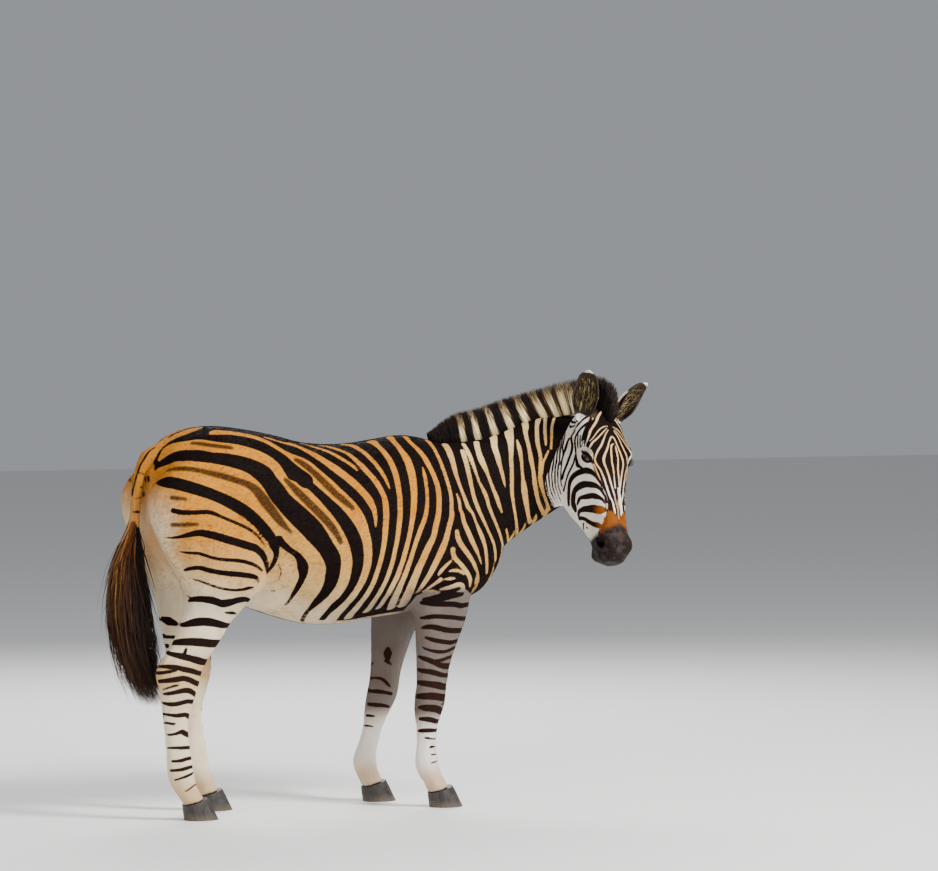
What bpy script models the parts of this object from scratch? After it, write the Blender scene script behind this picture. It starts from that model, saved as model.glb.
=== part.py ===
"""A life-size plains zebra standing square on the ground with its head turned to its right.

Metres, +Z up. The zebra looks along +X, its right side is -Y, and its hooves stand on Z = 0.
The flesh is lofted piece by piece, melted into one body, and then parted with thin cuts.
"""

from math import cos, radians, sin

import bmesh
import bpy
import numpy as np
from mathutils import Matrix, Vector

# Driving dimensions
RING_POINTS = 28
LOFT_STEP = 0.03
VOXEL = 0.007
SMOOTHING_ROUNDS = 9
BODY_TRIANGLES = 5000
CUT = 0.0003
HOOF_HEIGHT = 0.062
EYE_RADIUS = 0.021
EAR_LENGTH = 0.176
EAR_HALF_WIDTH = 0.040
EAR_THICKNESS = 0.006
MANE_HEIGHT = 0.104
FORE_CUT_Z = 0.638
HIND_CUT_Z = 0.688

# Head pose: how far the nose hangs below the horizon, and how far the face is turned from +X.
POLL = Vector((1.027, -0.170, 1.367))
HEAD_PITCH = radians(69)
HEAD_YAW = radians(-78)
HEAD_ROLL = radians(-9)
HEAD_SCALE = 1.045

# Colours of the nodes (linear RGB) with their roughness.
COAT = ((0.62, 0.50, 0.36), 0.8)
DARK_HAIR = ((0.035, 0.022, 0.016), 0.7)
HORN = ((0.045, 0.04, 0.036), 0.45)
EYEBALL = ((0.015, 0.009, 0.006), 0.12)

# Trunk sections: x, top z, bottom z, height of the widest part, half width, taper, squareness.
TRUNK = [
    (-0.590, 1.210, 1.000, 1.100, 0.090, 0.00, 2.0),
    (-0.540, 1.270, 0.900, 1.080, 0.150, 0.10, 2.1),
    (-0.470, 1.308, 0.800, 1.060, 0.205, 0.10, 2.2),
    (-0.380, 1.322, 0.740, 1.040, 0.238, 0.08, 2.2),
    (-0.250, 1.311, 0.705, 1.000, 0.252, 0.00, 2.2),
    (-0.140, 1.291, 0.668, 0.950, 0.268, -0.04, 2.1),
    (-0.030, 1.264, 0.640, 0.920, 0.282, -0.08, 2.1),
    (0.087, 1.255, 0.632, 0.920, 0.286, -0.10, 2.1),
    (0.182, 1.260, 0.645, 0.930, 0.274, -0.14, 2.1),
    (0.258, 1.272, 0.654, 0.930, 0.254, -0.18, 2.1),
    (0.354, 1.283, 0.664, 0.930, 0.226, -0.22, 2.1),
    (0.451, 1.268, 0.690, 0.930, 0.196, -0.22, 2.1),
    (0.550, 1.220, 0.708, 0.930, 0.166, -0.16, 2.1),
    (0.625, 1.130, 0.716, 0.915, 0.142, -0.06, 2.1),
    (0.685, 1.050, 0.768, 0.900, 0.110, 0.00, 2.1),
    (0.728, 0.985, 0.835, 0.905, 0.066, 0.00, 2.0),
]

# Neck sections: distance along the neck, x, y, z of its axis, rise, drop, half width, taper.
NECK = [
    (0.00, 0.420, 0.000, 1.000, 0.270, 0.260, 0.150, -0.20),
    (0.13, 0.550, 0.000, 1.030, 0.235, 0.262, 0.130, -0.24),
    (0.24, 0.665, 0.000, 1.066, 0.205, 0.205, 0.112, -0.26),
    (0.35, 0.768, -0.009, 1.106, 0.185, 0.176, 0.098, -0.22),
    (0.46, 0.857, -0.035, 1.152, 0.175, 0.162, 0.088, -0.12),
    (0.55, 0.932, -0.070, 1.202, 0.158, 0.156, 0.080, 0.04),
    (0.62, 0.985, -0.105, 1.246, 0.122, 0.140, 0.073, 0.10),
    (0.67, 1.013, -0.138, 1.270, 0.082, 0.110, 0.062, 0.10),
]

# Head sections from poll to lips: distance along the axis, rise to the face, drop to the jaw,
# half width, taper (positive is wider at the forehead), squareness. Scaled by HEAD_SCALE.
HEAD = [
    (0.000, 0.020, 0.040, 0.030, 0.00, 2.0),
    (0.014, 0.038, 0.085, 0.054, 0.00, 2.1),
    (0.040, 0.057, 0.130, 0.074, 0.05, 2.2),
    (0.080, 0.070, 0.162, 0.085, 0.12, 2.2),
    (0.120, 0.075, 0.180, 0.089, 0.18, 2.2),
    (0.165, 0.074, 0.194, 0.090, 0.22, 2.2),
    (0.215, 0.070, 0.204, 0.083, 0.18, 2.3),
    (0.265, 0.066, 0.202, 0.073, 0.10, 2.3),
    (0.320, 0.061, 0.176, 0.062, 0.04, 2.3),
    (0.375, 0.057, 0.134, 0.055, 0.02, 2.3),
    (0.425, 0.054, 0.100, 0.053, 0.05, 2.2),
    (0.465, 0.052, 0.082, 0.056, 0.08, 2.2),
    (0.500, 0.047, 0.072, 0.056, 0.06, 2.2),
    (0.530, 0.034, 0.060, 0.049, 0.02, 2.1),
    (0.548, 0.018, 0.040, 0.034, 0.00, 2.0),
]

# Swellings of the head, mirrored left and right: along, rise, out, then radii the same way.
SWELLINGS = [
    (0.162, 0.044, 0.077, 0.036, 0.021, 0.020),
    (0.245, 0.006, 0.056, 0.075, 0.018, 0.017),
    (0.150, -0.085, 0.050, 0.080, 0.070, 0.030),
    (0.487, 0.026, 0.036, 0.036, 0.026, 0.024),
    (0.500, -0.056, 0.014, 0.030, 0.024, 0.028),
]

# Mane between the ears and on the forehead: along, rise, lean to the back (0 to 1), height.
FORELOCK = [
    (-0.018, 0.018, 0.90, 0.112),
    (0.000, 0.040, 0.72, 0.114),
    (0.022, 0.055, 0.58, 0.108),
    (0.048, 0.064, 0.46, 0.086),
    (0.070, 0.069, 0.38, 0.044),
]

# Leg lines: z, x and distance from the middle, from the trunk down to the coronet.
FORE_RIGHT_LINE = [
    (1.020, 0.470, 0.120),
    (0.850, 0.455, 0.138),
    (0.720, 0.438, 0.150),
    (0.600, 0.424, 0.150),
    (0.440, 0.406, 0.142),
    (0.370, 0.402, 0.138),
    (0.230, 0.390, 0.136),
    (0.135, 0.396, 0.136),
    (0.050, 0.440, 0.138),
]
FORE_LEFT_LINE = [
    (1.020, 0.470, 0.120),
    (0.850, 0.450, 0.138),
    (0.720, 0.424, 0.150),
    (0.600, 0.400, 0.150),
    (0.440, 0.366, 0.142),
    (0.360, 0.350, 0.138),
    (0.230, 0.308, 0.136),
    (0.135, 0.285, 0.136),
    (0.050, 0.318, 0.138),
]
HIND_RIGHT_LINE = [
    (1.220, -0.420, 0.115),
    (1.100, -0.425, 0.118),
    (0.980, -0.415, 0.124),
    (0.880, -0.392, 0.132),
    (0.800, -0.380, 0.138),
    (0.740, -0.398, 0.142),
    (0.670, -0.440, 0.140),
    (0.600, -0.474, 0.136),
    (0.510, -0.530, 0.132),
    (0.430, -0.538, 0.130),
    (0.340, -0.546, 0.130),
    (0.220, -0.534, 0.130),
    (0.135, -0.522, 0.130),
    (0.050, -0.478, 0.132),
]
HIND_LEFT_LINE = [
    (1.220, -0.420, 0.115),
    (1.100, -0.425, 0.118),
    (0.980, -0.410, 0.124),
    (0.880, -0.385, 0.132),
    (0.800, -0.380, 0.138),
    (0.740, -0.388, 0.142),
    (0.670, -0.400, 0.140),
    (0.600, -0.394, 0.134),
    (0.510, -0.384, 0.128),
    (0.430, -0.385, 0.124),
    (0.340, -0.388, 0.122),
    (0.220, -0.370, 0.120),
    (0.135, -0.357, 0.120),
    (0.050, -0.313, 0.122),
]

# Leg thickness: z, depth in front of and behind the line, half width.
FORE_SHAPE = [
    (1.020, 0.110, 0.120, 0.075),
    (0.850, 0.130, 0.125, 0.088),
    (0.720, 0.108, 0.112, 0.076),
    (0.640, 0.098, 0.090, 0.062),
    (0.560, 0.074, 0.074, 0.053),
    (0.480, 0.060, 0.060, 0.046),
    (0.420, 0.056, 0.055, 0.043),
    (0.370, 0.056, 0.058, 0.045),
    (0.325, 0.046, 0.054, 0.039),
    (0.285, 0.037, 0.043, 0.031),
    (0.215, 0.036, 0.040, 0.028),
    (0.165, 0.039, 0.044, 0.032),
    (0.130, 0.042, 0.048, 0.037),
    (0.095, 0.040, 0.042, 0.034),
    (0.050, 0.046, 0.044, 0.040),
]
HIND_SHAPE = [
    (1.220, 0.120, 0.120, 0.070),
    (1.100, 0.185, 0.207, 0.112),
    (0.980, 0.200, 0.206, 0.124),
    (0.880, 0.185, 0.185, 0.118),
    (0.800, 0.152, 0.155, 0.098),
    (0.740, 0.122, 0.122, 0.078),
    (0.670, 0.094, 0.094, 0.060),
    (0.600, 0.086, 0.086, 0.050),
    (0.545, 0.082, 0.086, 0.045),
    (0.505, 0.080, 0.090, 0.046),
    (0.460, 0.074, 0.076, 0.046),
    (0.410, 0.060, 0.061, 0.041),
    (0.350, 0.046, 0.048, 0.033),
    (0.250, 0.042, 0.046, 0.030),
    (0.175, 0.044, 0.049, 0.034),
    (0.130, 0.045, 0.051, 0.038),
    (0.095, 0.041, 0.044, 0.034),
    (0.050, 0.046, 0.044, 0.040),
]

# Hoof sections: z, shift forward of the coronet, half length, half width.
HOOF = [
    (0.100, -0.020, 0.044, 0.036),
    (0.070, 0.000, 0.047, 0.040),
    (0.035, 0.012, 0.053, 0.044),
    (0.000, 0.024, 0.059, 0.048),
]

# Tail: z, x, half depth, half width.
TAIL_DOCK = [
    (1.270, -0.520, 0.030, 0.030),
    (1.240, -0.578, 0.030, 0.032),
    (1.190, -0.612, 0.024, 0.027),
    (1.130, -0.627, 0.022, 0.024),
    (1.060, -0.636, 0.021, 0.022),
    (1.000, -0.641, 0.021, 0.022),
    (0.960, -0.645, 0.022, 0.022),
]
TAIL_HAIR = [
    (0.960, -0.645, 0.026, 0.028),
    (0.910, -0.656, 0.042, 0.038),
    (0.840, -0.665, 0.055, 0.046),
    (0.750, -0.664, 0.066, 0.052),
    (0.650, -0.655, 0.068, 0.052),
    (0.550, -0.636, 0.060, 0.046),
    (0.450, -0.605, 0.048, 0.038),
    (0.370, -0.570, 0.026, 0.024),
]


def reset_scene():
    for obj in list(bpy.data.objects):
        bpy.data.objects.remove(obj)
    parts = bpy.data.collections.new("zebra")
    helpers = bpy.data.collections.new("cutters")
    bpy.context.scene.collection.children.link(parts)
    bpy.context.scene.collection.children.link(helpers)
    return parts, helpers


def smooth_rows(table, count):
    """The table's rows joined by a smooth curve and read at even steps of the first column."""
    rows = np.array(table, float)
    if rows[0, 0] > rows[-1, 0]:
        rows = rows[::-1]
    key = rows[:, 0]
    slope = np.gradient(rows, key, axis=0)
    at = np.linspace(key[0], key[-1], count)
    i = np.clip(np.searchsorted(key, at) - 1, 0, len(key) - 2)
    span = (key[i + 1] - key[i])[:, None]
    t = (at[:, None] - key[i][:, None]) / span
    start = (2 * t**3 - 3 * t**2 + 1) * rows[i] + (t**3 - 2 * t**2 + t) * span * slope[i]
    end = (3 * t**2 - 2 * t**3) * rows[i + 1] + (t**3 - t**2) * span * slope[i + 1]
    return start + end


def ring(centre, side, up, rise, drop, half_width, taper=0.0, square=2.0, count=RING_POINTS):
    """One closed section; it starts at the top and runs towards the side axis."""
    points = []
    for i in range(count):
        angle = 2 * np.pi * i / count
        height = np.sign(cos(angle)) * abs(cos(angle)) ** (2 / square)
        width = np.sign(sin(angle)) * abs(sin(angle)) ** (2 / square)
        reach = (rise if height > 0 else drop) * height
        points.append(centre + up * reach + side * half_width * width * (1 + taper * height))
    return points


def loft(name, rings, collection):
    """A closed skin over sections that all have the same number of points."""
    bm = bmesh.new()
    rows = [[bm.verts.new(point) for point in points] for points in rings]
    count = len(rows[0])
    for lower, upper in zip(rows, rows[1:]):
        for i in range(count):
            j = (i + 1) % count
            bm.faces.new((lower[i], lower[j], upper[j], upper[i]))
    bm.faces.new(rows[0][::-1])
    bm.faces.new(rows[-1])
    bmesh.ops.recalc_face_normals(bm, faces=bm.faces)
    mesh = bpy.data.meshes.new(name)
    bm.to_mesh(mesh)
    bm.free()
    obj = bpy.data.objects.new(name, mesh)
    collection.objects.link(obj)
    return obj


def steps_between(first, last):
    return max(4, round(abs(last - first) / LOFT_STEP) + 1)


def head_axes():
    """The head's own axes: along the nose, out of the forehead, and to the zebra's left."""
    facing = Vector((cos(HEAD_YAW), sin(HEAD_YAW), 0))
    down = Vector((0, 0, -1))
    turn = Matrix.Rotation(HEAD_ROLL, 3, facing)
    nose = turn @ (facing * cos(HEAD_PITCH) + down * sin(HEAD_PITCH))
    brow = turn @ (facing * sin(HEAD_PITCH) - down * cos(HEAD_PITCH))
    return nose, brow, brow.cross(nose)


def head_point(along, rise, left):
    nose, brow, side = head_axes()
    return POLL + (nose * along + brow * rise + side * left) * HEAD_SCALE


def build_trunk(collection):
    rings = []
    for x, top, bottom, middle, half, taper, square in smooth_rows(TRUNK, 48):
        centre = Vector((x, 0, middle))
        up = Vector((0, 0, 1))
        rings.append(ring(centre, Vector((0, 1, 0)), up, top - middle, middle - bottom, half, taper, square))
    return loft("trunk_form", rings, collection)


def neck_frames():
    """Centre, side, up and sizes of each neck section."""
    rows = smooth_rows(NECK, 26)
    tangents = np.gradient(rows[:, 1:4], axis=0)
    frames = []
    for row, tangent in zip(rows, tangents):
        along = Vector(tangent).normalized()
        side = Vector((0, 0, 1)).cross(along).normalized()
        frames.append((Vector(row[1:4]), side, along.cross(side), row[4:8]))
    return frames


def build_neck(collection):
    rings = []
    for centre, side, up, (rise, drop, half, taper) in neck_frames():
        rings.append(ring(centre, side, up, rise, drop, half, taper, 2.1))
    return loft("neck_form", rings, collection)


def build_head(collection):
    _, brow, side = head_axes()
    rings = []
    for along, rise, drop, half, taper, square in smooth_rows(HEAD, 30):
        sizes = [size * HEAD_SCALE for size in (rise, drop, half)]
        rings.append(ring(head_point(along, 0, 0), side, brow, *sizes, taper, square))
    return loft("head_form", rings, collection)


def build_swelling(along, rise, out, radii, collection):
    """A rounded lump on the head: brow, cheekbone, jaw muscle, nostril or chin."""
    nose, brow, side = head_axes()
    bm = bmesh.new()
    bmesh.ops.create_icosphere(bm, subdivisions=3, radius=HEAD_SCALE)
    bmesh.ops.scale(bm, vec=radii, verts=bm.verts)
    bmesh.ops.transform(bm, matrix=Matrix((nose, brow, side)).transposed(), verts=bm.verts)
    bmesh.ops.translate(bm, vec=head_point(along, rise, out), verts=bm.verts)
    mesh = bpy.data.meshes.new("swelling")
    bm.to_mesh(mesh)
    bm.free()
    obj = bpy.data.objects.new("swelling", mesh)
    collection.objects.link(obj)
    return obj


def build_leg(name, line, shape, left, collection):
    """A leg as level sections; left is 1 for the left legs and -1 for the right ones."""
    count = steps_between(shape[0][0], shape[-1][0])
    centres = smooth_rows(line, count)
    sizes = smooth_rows(shape, count)
    rings = []
    for (z, x, out), (_, front, back, half) in zip(centres, sizes):
        centre = Vector((x, left * out, z))
        rings.append(ring(centre, Vector((0, 1, 0)), Vector((1, 0, 0)), front, back, half, 0, 2.15))
    return loft(name, rings, collection)


def coarseness(place):
    """How freely the surface may be thinned: the head keeps its detail, the trunk least."""
    if (place - head_point(0.25, 0, 0)).length < 0.42 and place.x > 0.8:
        return 0.25
    if place.z < 0.62:
        return 0.35
    return 0.60


def melt(forms, name, collection):
    """The forms joined, remeshed as one body, smoothed and thinned out."""
    bm = bmesh.new()
    for form in forms:
        bm.from_mesh(form.data)
        bpy.data.objects.remove(form)
    mesh = bpy.data.meshes.new(name)
    bm.to_mesh(mesh)
    bm.free()
    body = bpy.data.objects.new(name, mesh)
    collection.objects.link(body)
    remesh = body.modifiers.new("melt", "REMESH")
    remesh.mode = "VOXEL"
    remesh.voxel_size = VOXEL
    smooth = body.modifiers.new("fillet", "SMOOTH")
    smooth.factor = 0.5
    smooth.iterations = SMOOTHING_ROUNDS
    settle(body)
    coarse = body.vertex_groups.new(name="coarse")
    for vert in body.data.vertices:
        coarse.add([vert.index], coarseness(vert.co), "REPLACE")
    thin = body.modifiers.new("thin", "DECIMATE")
    thin.vertex_group = "coarse"
    thin.vertex_group_factor = 1.0
    thin.ratio = BODY_TRIANGLES / (2 * len(body.data.polygons))
    thin.use_collapse_triangulate = True
    settle(body)
    return body


def settle(obj):
    """Applies the object's modifiers to its mesh."""
    graph = bpy.context.evaluated_depsgraph_get()
    mesh = bpy.data.meshes.new_from_object(obj.evaluated_get(graph), depsgraph=graph)
    obj.modifiers.clear()
    obj.data = mesh


def helper(obj):
    obj.hide_render = True
    obj.display_type = "WIRE"
    return obj


def block(name, low, high, collection, turn=None, centre=None):
    """A box cutter, turned about its centre when a rotation is given."""
    bm = bmesh.new()
    bmesh.ops.create_cube(bm, size=1)
    size = Vector(high) - Vector(low)
    middle = (Vector(high) + Vector(low)) / 2
    bmesh.ops.scale(bm, vec=size, verts=bm.verts)
    bmesh.ops.translate(bm, vec=middle, verts=bm.verts)
    if turn is not None:
        bmesh.ops.rotate(bm, cent=(0, 0, 0), matrix=turn, verts=bm.verts)
        bmesh.ops.translate(bm, vec=centre, verts=bm.verts)
    mesh = bpy.data.meshes.new(name)
    bm.to_mesh(mesh)
    bm.free()
    obj = bpy.data.objects.new(name, mesh)
    collection.objects.link(obj)
    return helper(obj)


def grown(obj, by, collection):
    """A copy whose surface stands out by a small distance, as a cutter that leaves a gap."""
    copy = obj.copy()
    copy.data = obj.data.copy()
    copy.name = obj.name + "_grown"
    collection.objects.link(copy)
    bm = bmesh.new()
    bm.from_mesh(copy.data)
    bm.normal_update()
    for vert in bm.verts:
        vert.co += vert.normal * by
    bm.to_mesh(copy.data)
    bm.free()
    return helper(copy)


def combine(obj, other, operation):
    cut = obj.modifiers.new(operation.lower(), "BOOLEAN")
    cut.operation = operation
    cut.object = other
    settle(obj)
    return obj


def carve(name, body, keep, remove, collection):
    """The share of the body inside every keep block and outside every remove block."""
    obj = body.copy()
    obj.data = body.data.copy()
    obj.name = name
    obj.hide_render = False
    obj.display_type = "TEXTURED"
    collection.objects.link(obj)
    for cutter in keep:
        combine(obj, cutter, "INTERSECT")
    for cutter in remove:
        combine(obj, cutter, "DIFFERENCE")
    return obj


def facing_turn(normal, side=None):
    """The rotation that carries +X onto the normal and Y onto the side, level by default."""
    ahead = Vector(normal).normalized()
    side = (side or Vector((0, 0, 1)).cross(ahead)).normalized()
    return Matrix((ahead, side, ahead.cross(side))).transposed()


def build_hoof(name, leg_line, left, coronet, collection):
    """A hoof below the coronet cut, flat on the ground."""
    x, out = leg_line[-1][1], leg_line[-1][2]
    rings = []
    for z, shift, length, width in smooth_rows(HOOF, 5):
        centre = Vector((x + shift, left * out, z))
        across, ahead = Vector((0, 1, 0)), Vector((1, 0, 0))
        rings.append(ring(centre, across, ahead, length, length, width, -0.12, 2.2, 20))
    return combine(loft(name, rings, collection), coronet, "DIFFERENCE")


def build_ear(name, base, tip_direction, opening, collection):
    """A cupped leaf with its base in the head; opening is the way its hollow faces."""
    along = Vector(tip_direction).normalized()
    out = (Vector(opening) - along * along.dot(Vector(opening))).normalized()
    side = along.cross(out)
    lengthwise, across = 9, 8
    bm = bmesh.new()
    rows = []
    for i in range(lengthwise + 1):
        t = -0.2 + 1.2 * i / lengthwise
        root = 1 + 1.6 * min(t, 0)
        width = EAR_HALF_WIDTH * root * (0.54 + 1.84 * max(t, 0) * (1 - t)) * (1 - max(t, 0) ** 6) ** 0.5
        curl = radians(122 - 70 * t)
        row = []
        for j in range(across + 1):
            angle = curl * (2 * j / across - 1)
            radius = width / max(sin(min(curl, radians(90))), 0.3)
            offset = side * radius * sin(angle) + out * radius * (0.35 - cos(angle))
            bend = out * 0.10 * EAR_LENGTH * t**2
            row.append(bm.verts.new(base + along * EAR_LENGTH * t * 0.995 + offset + bend))
        rows.append(row)
    for lower, upper in zip(rows, rows[1:]):
        for j in range(across):
            bm.faces.new((lower[j], lower[j + 1], upper[j + 1], upper[j]))
    bmesh.ops.remove_doubles(bm, verts=bm.verts, dist=0.0005)
    mesh = bpy.data.meshes.new(name)
    bm.to_mesh(mesh)
    bm.free()
    obj = bpy.data.objects.new(name, mesh)
    collection.objects.link(obj)
    shell = obj.modifiers.new("shell", "SOLIDIFY")
    shell.thickness = EAR_THICKNESS
    shell.offset = 0
    settle(obj)
    return obj


def build_eye(name, left, collection):
    bm = bmesh.new()
    bmesh.ops.create_uvsphere(bm, u_segments=14, v_segments=9, radius=EYE_RADIUS)
    bmesh.ops.translate(bm, vec=head_point(0.194, 0.022, left * 0.0785), verts=bm.verts)
    mesh = bpy.data.meshes.new(name)
    bm.to_mesh(mesh)
    bm.free()
    obj = bpy.data.objects.new(name, mesh)
    collection.objects.link(obj)
    return obj


def crest_line():
    """Roots of the mane from the withers over the poll to the forehead: root, up, side, height."""
    line = []
    frames = neck_frames()[4:23]
    for i, (centre, side, up, (rise, _, _, _)) in enumerate(frames):
        height = MANE_HEIGHT * min(1.0, 0.30 + 0.15 * i)
        line.append((centre + up * rise, up, side, height))
    nose, brow, side = head_axes()
    for along, rise, back, height in FORELOCK:
        up = (brow * (1 - back) - nose * back).normalized()
        line.append((head_point(along, rise, 0), up, side, height))
    for _ in range(2):
        inner = [
            tuple((before[k] + 2 * here[k] + after[k]) / 4 for k in range(4))
            for before, here, after in zip(line, line[1:], line[2:])
        ]
        line = [line[0], *inner, line[-1]]
    return line


def build_mane(collection):
    """An upright brush: each section is a slab standing on the crest."""
    rings = []
    for root, up, side, height in crest_line():
        half = 0.012 + 0.08 * height
        rings.append(ring(root - up * 0.02, side, up, height + 0.02, 0.02, half, -0.25, 2.6, 12))
    return loft("mane", rings, collection)


def build_tail_piece(name, rows, collection):
    rings = []
    for z, x, depth, width in smooth_rows(rows, len(rows) + 3):
        centre = Vector((x, 0, z))
        rings.append(ring(centre, Vector((0, 1, 0)), Vector((1, 0, 0)), depth, depth, width, count=14))
    return loft(name, rings, collection)


def paint(obj, name, finish):
    colour, roughness = finish
    material = bpy.data.materials.get(name) or bpy.data.materials.new(name)
    material.use_nodes = True
    shader = material.node_tree.nodes["Principled BSDF"]
    shader.inputs["Base Color"].default_value = (*colour, 1)
    shader.inputs["Roughness"].default_value = roughness
    obj.data.materials.clear()
    obj.data.materials.append(material)


def main():
    parts, helpers = reset_scene()
    legs = {
        "front_right": (FORE_RIGHT_LINE, FORE_SHAPE, -1),
        "front_left": (FORE_LEFT_LINE, FORE_SHAPE, 1),
        "hind_right": (HIND_RIGHT_LINE, HIND_SHAPE, -1),
        "hind_left": (HIND_LEFT_LINE, HIND_SHAPE, 1),
    }
    forms = [build_trunk(helpers), build_neck(helpers), build_head(helpers)]
    for along, rise, out, *radii in SWELLINGS:
        for left in (1, -1):
            forms.append(build_swelling(along, rise, left * out, radii, helpers))
    for name, (line, shape, left) in legs.items():
        forms.append(build_leg(name, line, shape, left, helpers))
    body = helper(melt(forms, "body", helpers))

    # Thin cuts part the body.
    neck_turn = facing_turn((0.88, 0, 0.47))
    neck_root = Vector((0.545, 0, 1.06))
    nose, brow, side = head_axes()
    head_turn = facing_turn(nose * 0.527 + brow * 0.85, side)
    head_root = head_point(0.12, -0.105, 0)
    beyond_neck = block("beyond_neck", (0, -1, -1), (1.5, 1, 1), helpers, neck_turn, neck_root)
    beyond_neck_gap = block("beyond_neck_gap", (-CUT, -1, -1), (1.5, 1, 1), helpers, neck_turn, neck_root)
    beyond_head = block("beyond_head", (0, -0.14, -0.6), (0.6, 0.14, 0.5), helpers, head_turn, head_root)
    low, high = (-CUT, -0.14 - CUT, -0.6), (0.6, 0.14 + CUT, 0.5)
    beyond_head_gap = block("beyond_head_gap", low, high, helpers, head_turn, head_root)
    boxes = {
        "front_right": ((0.27, -0.5, -0.2), (0.75, 0, FORE_CUT_Z)),
        "front_left": ((0.20, 0, -0.2), (0.75, 0.5, FORE_CUT_Z)),
        "hind_right": ((-0.8, -0.5, -0.2), (-0.22, 0, HIND_CUT_Z)),
        "hind_left": ((-0.8, 0, -0.2), (-0.22, 0.5, HIND_CUT_Z)),
    }
    head = carve("head", body, [beyond_head], [], parts)
    neck = carve("neck", body, [beyond_neck], [beyond_head_gap], parts)
    gaps = [beyond_neck_gap]
    for name, (low, high) in boxes.items():
        gaps.append(block(name + "_gap", low, (high[0], high[1], high[2] + CUT), helpers))
    trunk = carve("trunk", body, [], gaps, parts)
    flesh = [head, neck, trunk]
    for name, (line, _, left) in legs.items():
        box = block(name + "_box", *boxes[name], helpers)
        tilt = Matrix.Rotation(radians(-16), 3, "Y")
        coronet = Vector((line[-1][1], left * line[-1][2], HOOF_HEIGHT))
        below = block(name + "_below", (-0.3, -0.2, -0.3), (0.3, 0.2, CUT), helpers, tilt, coronet)
        above = block(name + "_above", (-0.3, -0.2, 0), (0.3, 0.2, 0.3), helpers, tilt, coronet)
        flesh.append(carve("leg_" + name, body, [box], [below], parts))
        hoof = build_hoof("hoof_" + name, line, left, above, parts)
        paint(hoof, "horn", HORN)

    # Eyes in open sockets, ears on the skull.
    for name, left in (("left", 1), ("right", -1)):
        eye = build_eye("eye_" + name, left, parts)
        combine(head, grown(eye, CUT, helpers), "DIFFERENCE")
        paint(eye, "eyeball", EYEBALL)
    wide_body = grown(body, CUT, helpers)
    ears = {
        "right": (head_point(0.046, 0.010, -0.068), (0.02, -0.26, 1.0), (-0.55, -0.83, 0.0)),
        "left": (head_point(0.024, -0.003, 0.080), (0.72, -0.25, 0.89), (0.34, -0.86, -0.36)),
    }
    for name, (base, tip, opening) in ears.items():
        ear = build_ear("ear_" + name, base, tip, opening, parts)
        combine(ear, wide_body, "DIFFERENCE")
        flesh.append(ear)
    dock = combine(build_tail_piece("tail", TAIL_DOCK, parts), wide_body, "DIFFERENCE")
    flesh.append(dock)
    tail_hair = build_tail_piece("tail_hair", TAIL_HAIR, parts)
    tail_hair.data.transform(Matrix.Translation((0, 0, -CUT)))
    mane = combine(build_mane(parts), wide_body, "DIFFERENCE")
    for ear in ("ear_left", "ear_right"):
        combine(mane, grown(bpy.data.objects[ear], CUT, helpers), "DIFFERENCE")
    for obj in (tail_hair, mane):
        paint(obj, "dark_hair", DARK_HAIR)
    for obj in flesh:
        paint(obj, "coat", COAT)
    # The origin goes to the ground under the middle of the whole animal.
    corners = [obj.matrix_world @ vert.co for obj in parts.objects for vert in obj.data.vertices]
    middle = [(min(point[k] for point in corners) + max(point[k] for point in corners)) / 2 for k in (0, 1)]
    for obj in parts.objects:
        obj.data.transform(Matrix.Translation((-middle[0], -middle[1], 0)))
        obj.data.shade_smooth()


main()
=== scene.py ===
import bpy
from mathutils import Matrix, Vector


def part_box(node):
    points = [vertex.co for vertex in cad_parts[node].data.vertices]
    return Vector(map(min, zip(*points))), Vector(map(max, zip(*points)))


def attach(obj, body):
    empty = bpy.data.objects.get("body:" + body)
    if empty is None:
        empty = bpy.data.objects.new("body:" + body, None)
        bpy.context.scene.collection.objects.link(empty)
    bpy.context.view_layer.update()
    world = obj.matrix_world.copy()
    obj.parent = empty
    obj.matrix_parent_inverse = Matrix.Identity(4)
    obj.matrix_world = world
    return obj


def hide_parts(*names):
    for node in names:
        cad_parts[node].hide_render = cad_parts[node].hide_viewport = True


bl_info = {
    "name": "Plains Zebra Model",
    "version": (1, 0, 0),
    "blender": (4, 5, 0),
    "location": "3D Viewport > Sidebar > Zebra",
    "description": "Dresses a life-size plains zebra with its hide, coat, mane, tail hair, eyes and hooves",
    "category": "Add Mesh",
}

from math import cos, radians, sin

import bmesh
import bpy
import numpy as np
from bpy.props import FloatProperty, FloatVectorProperty, IntProperty, PointerProperty
from mathutils import Matrix, Vector
from mathutils.bvhtree import BVHTree
from mathutils.kdtree import KDTree

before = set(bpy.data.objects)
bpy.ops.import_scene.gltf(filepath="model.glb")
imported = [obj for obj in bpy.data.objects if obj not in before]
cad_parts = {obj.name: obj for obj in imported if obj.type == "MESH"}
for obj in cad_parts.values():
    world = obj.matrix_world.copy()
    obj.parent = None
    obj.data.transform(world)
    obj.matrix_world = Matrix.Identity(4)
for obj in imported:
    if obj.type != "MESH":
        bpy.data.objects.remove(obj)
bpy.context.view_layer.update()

# The tables below are told from the middle of the body: +X to the chest, +Y to the zebra's left.
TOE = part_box("hoof_front_right")
MIDDLE = Vector((TOE[1].x - 0.523, TOE[0].y + 0.186, 0.0))

FLESH = [
    "head",
    "neck",
    "trunk",
    "tail",
    "ear_left",
    "ear_right",
    "leg_front_left",
    "leg_front_right",
    "leg_hind_left",
    "leg_hind_right",
]
HEAD_FLESH = ["head", "neck", "ear_left", "ear_right", "eye_left", "eye_right"]

# The head: its poll, how it is turned and its scale against the head's tables.
POLL = MIDDLE + Vector((1.027, -0.170, 1.367))
HEAD_PITCH = radians(69)
HEAD_YAW = radians(-78)
HEAD_ROLL = radians(-9)
HEAD_SCALE = 1.045
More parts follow.
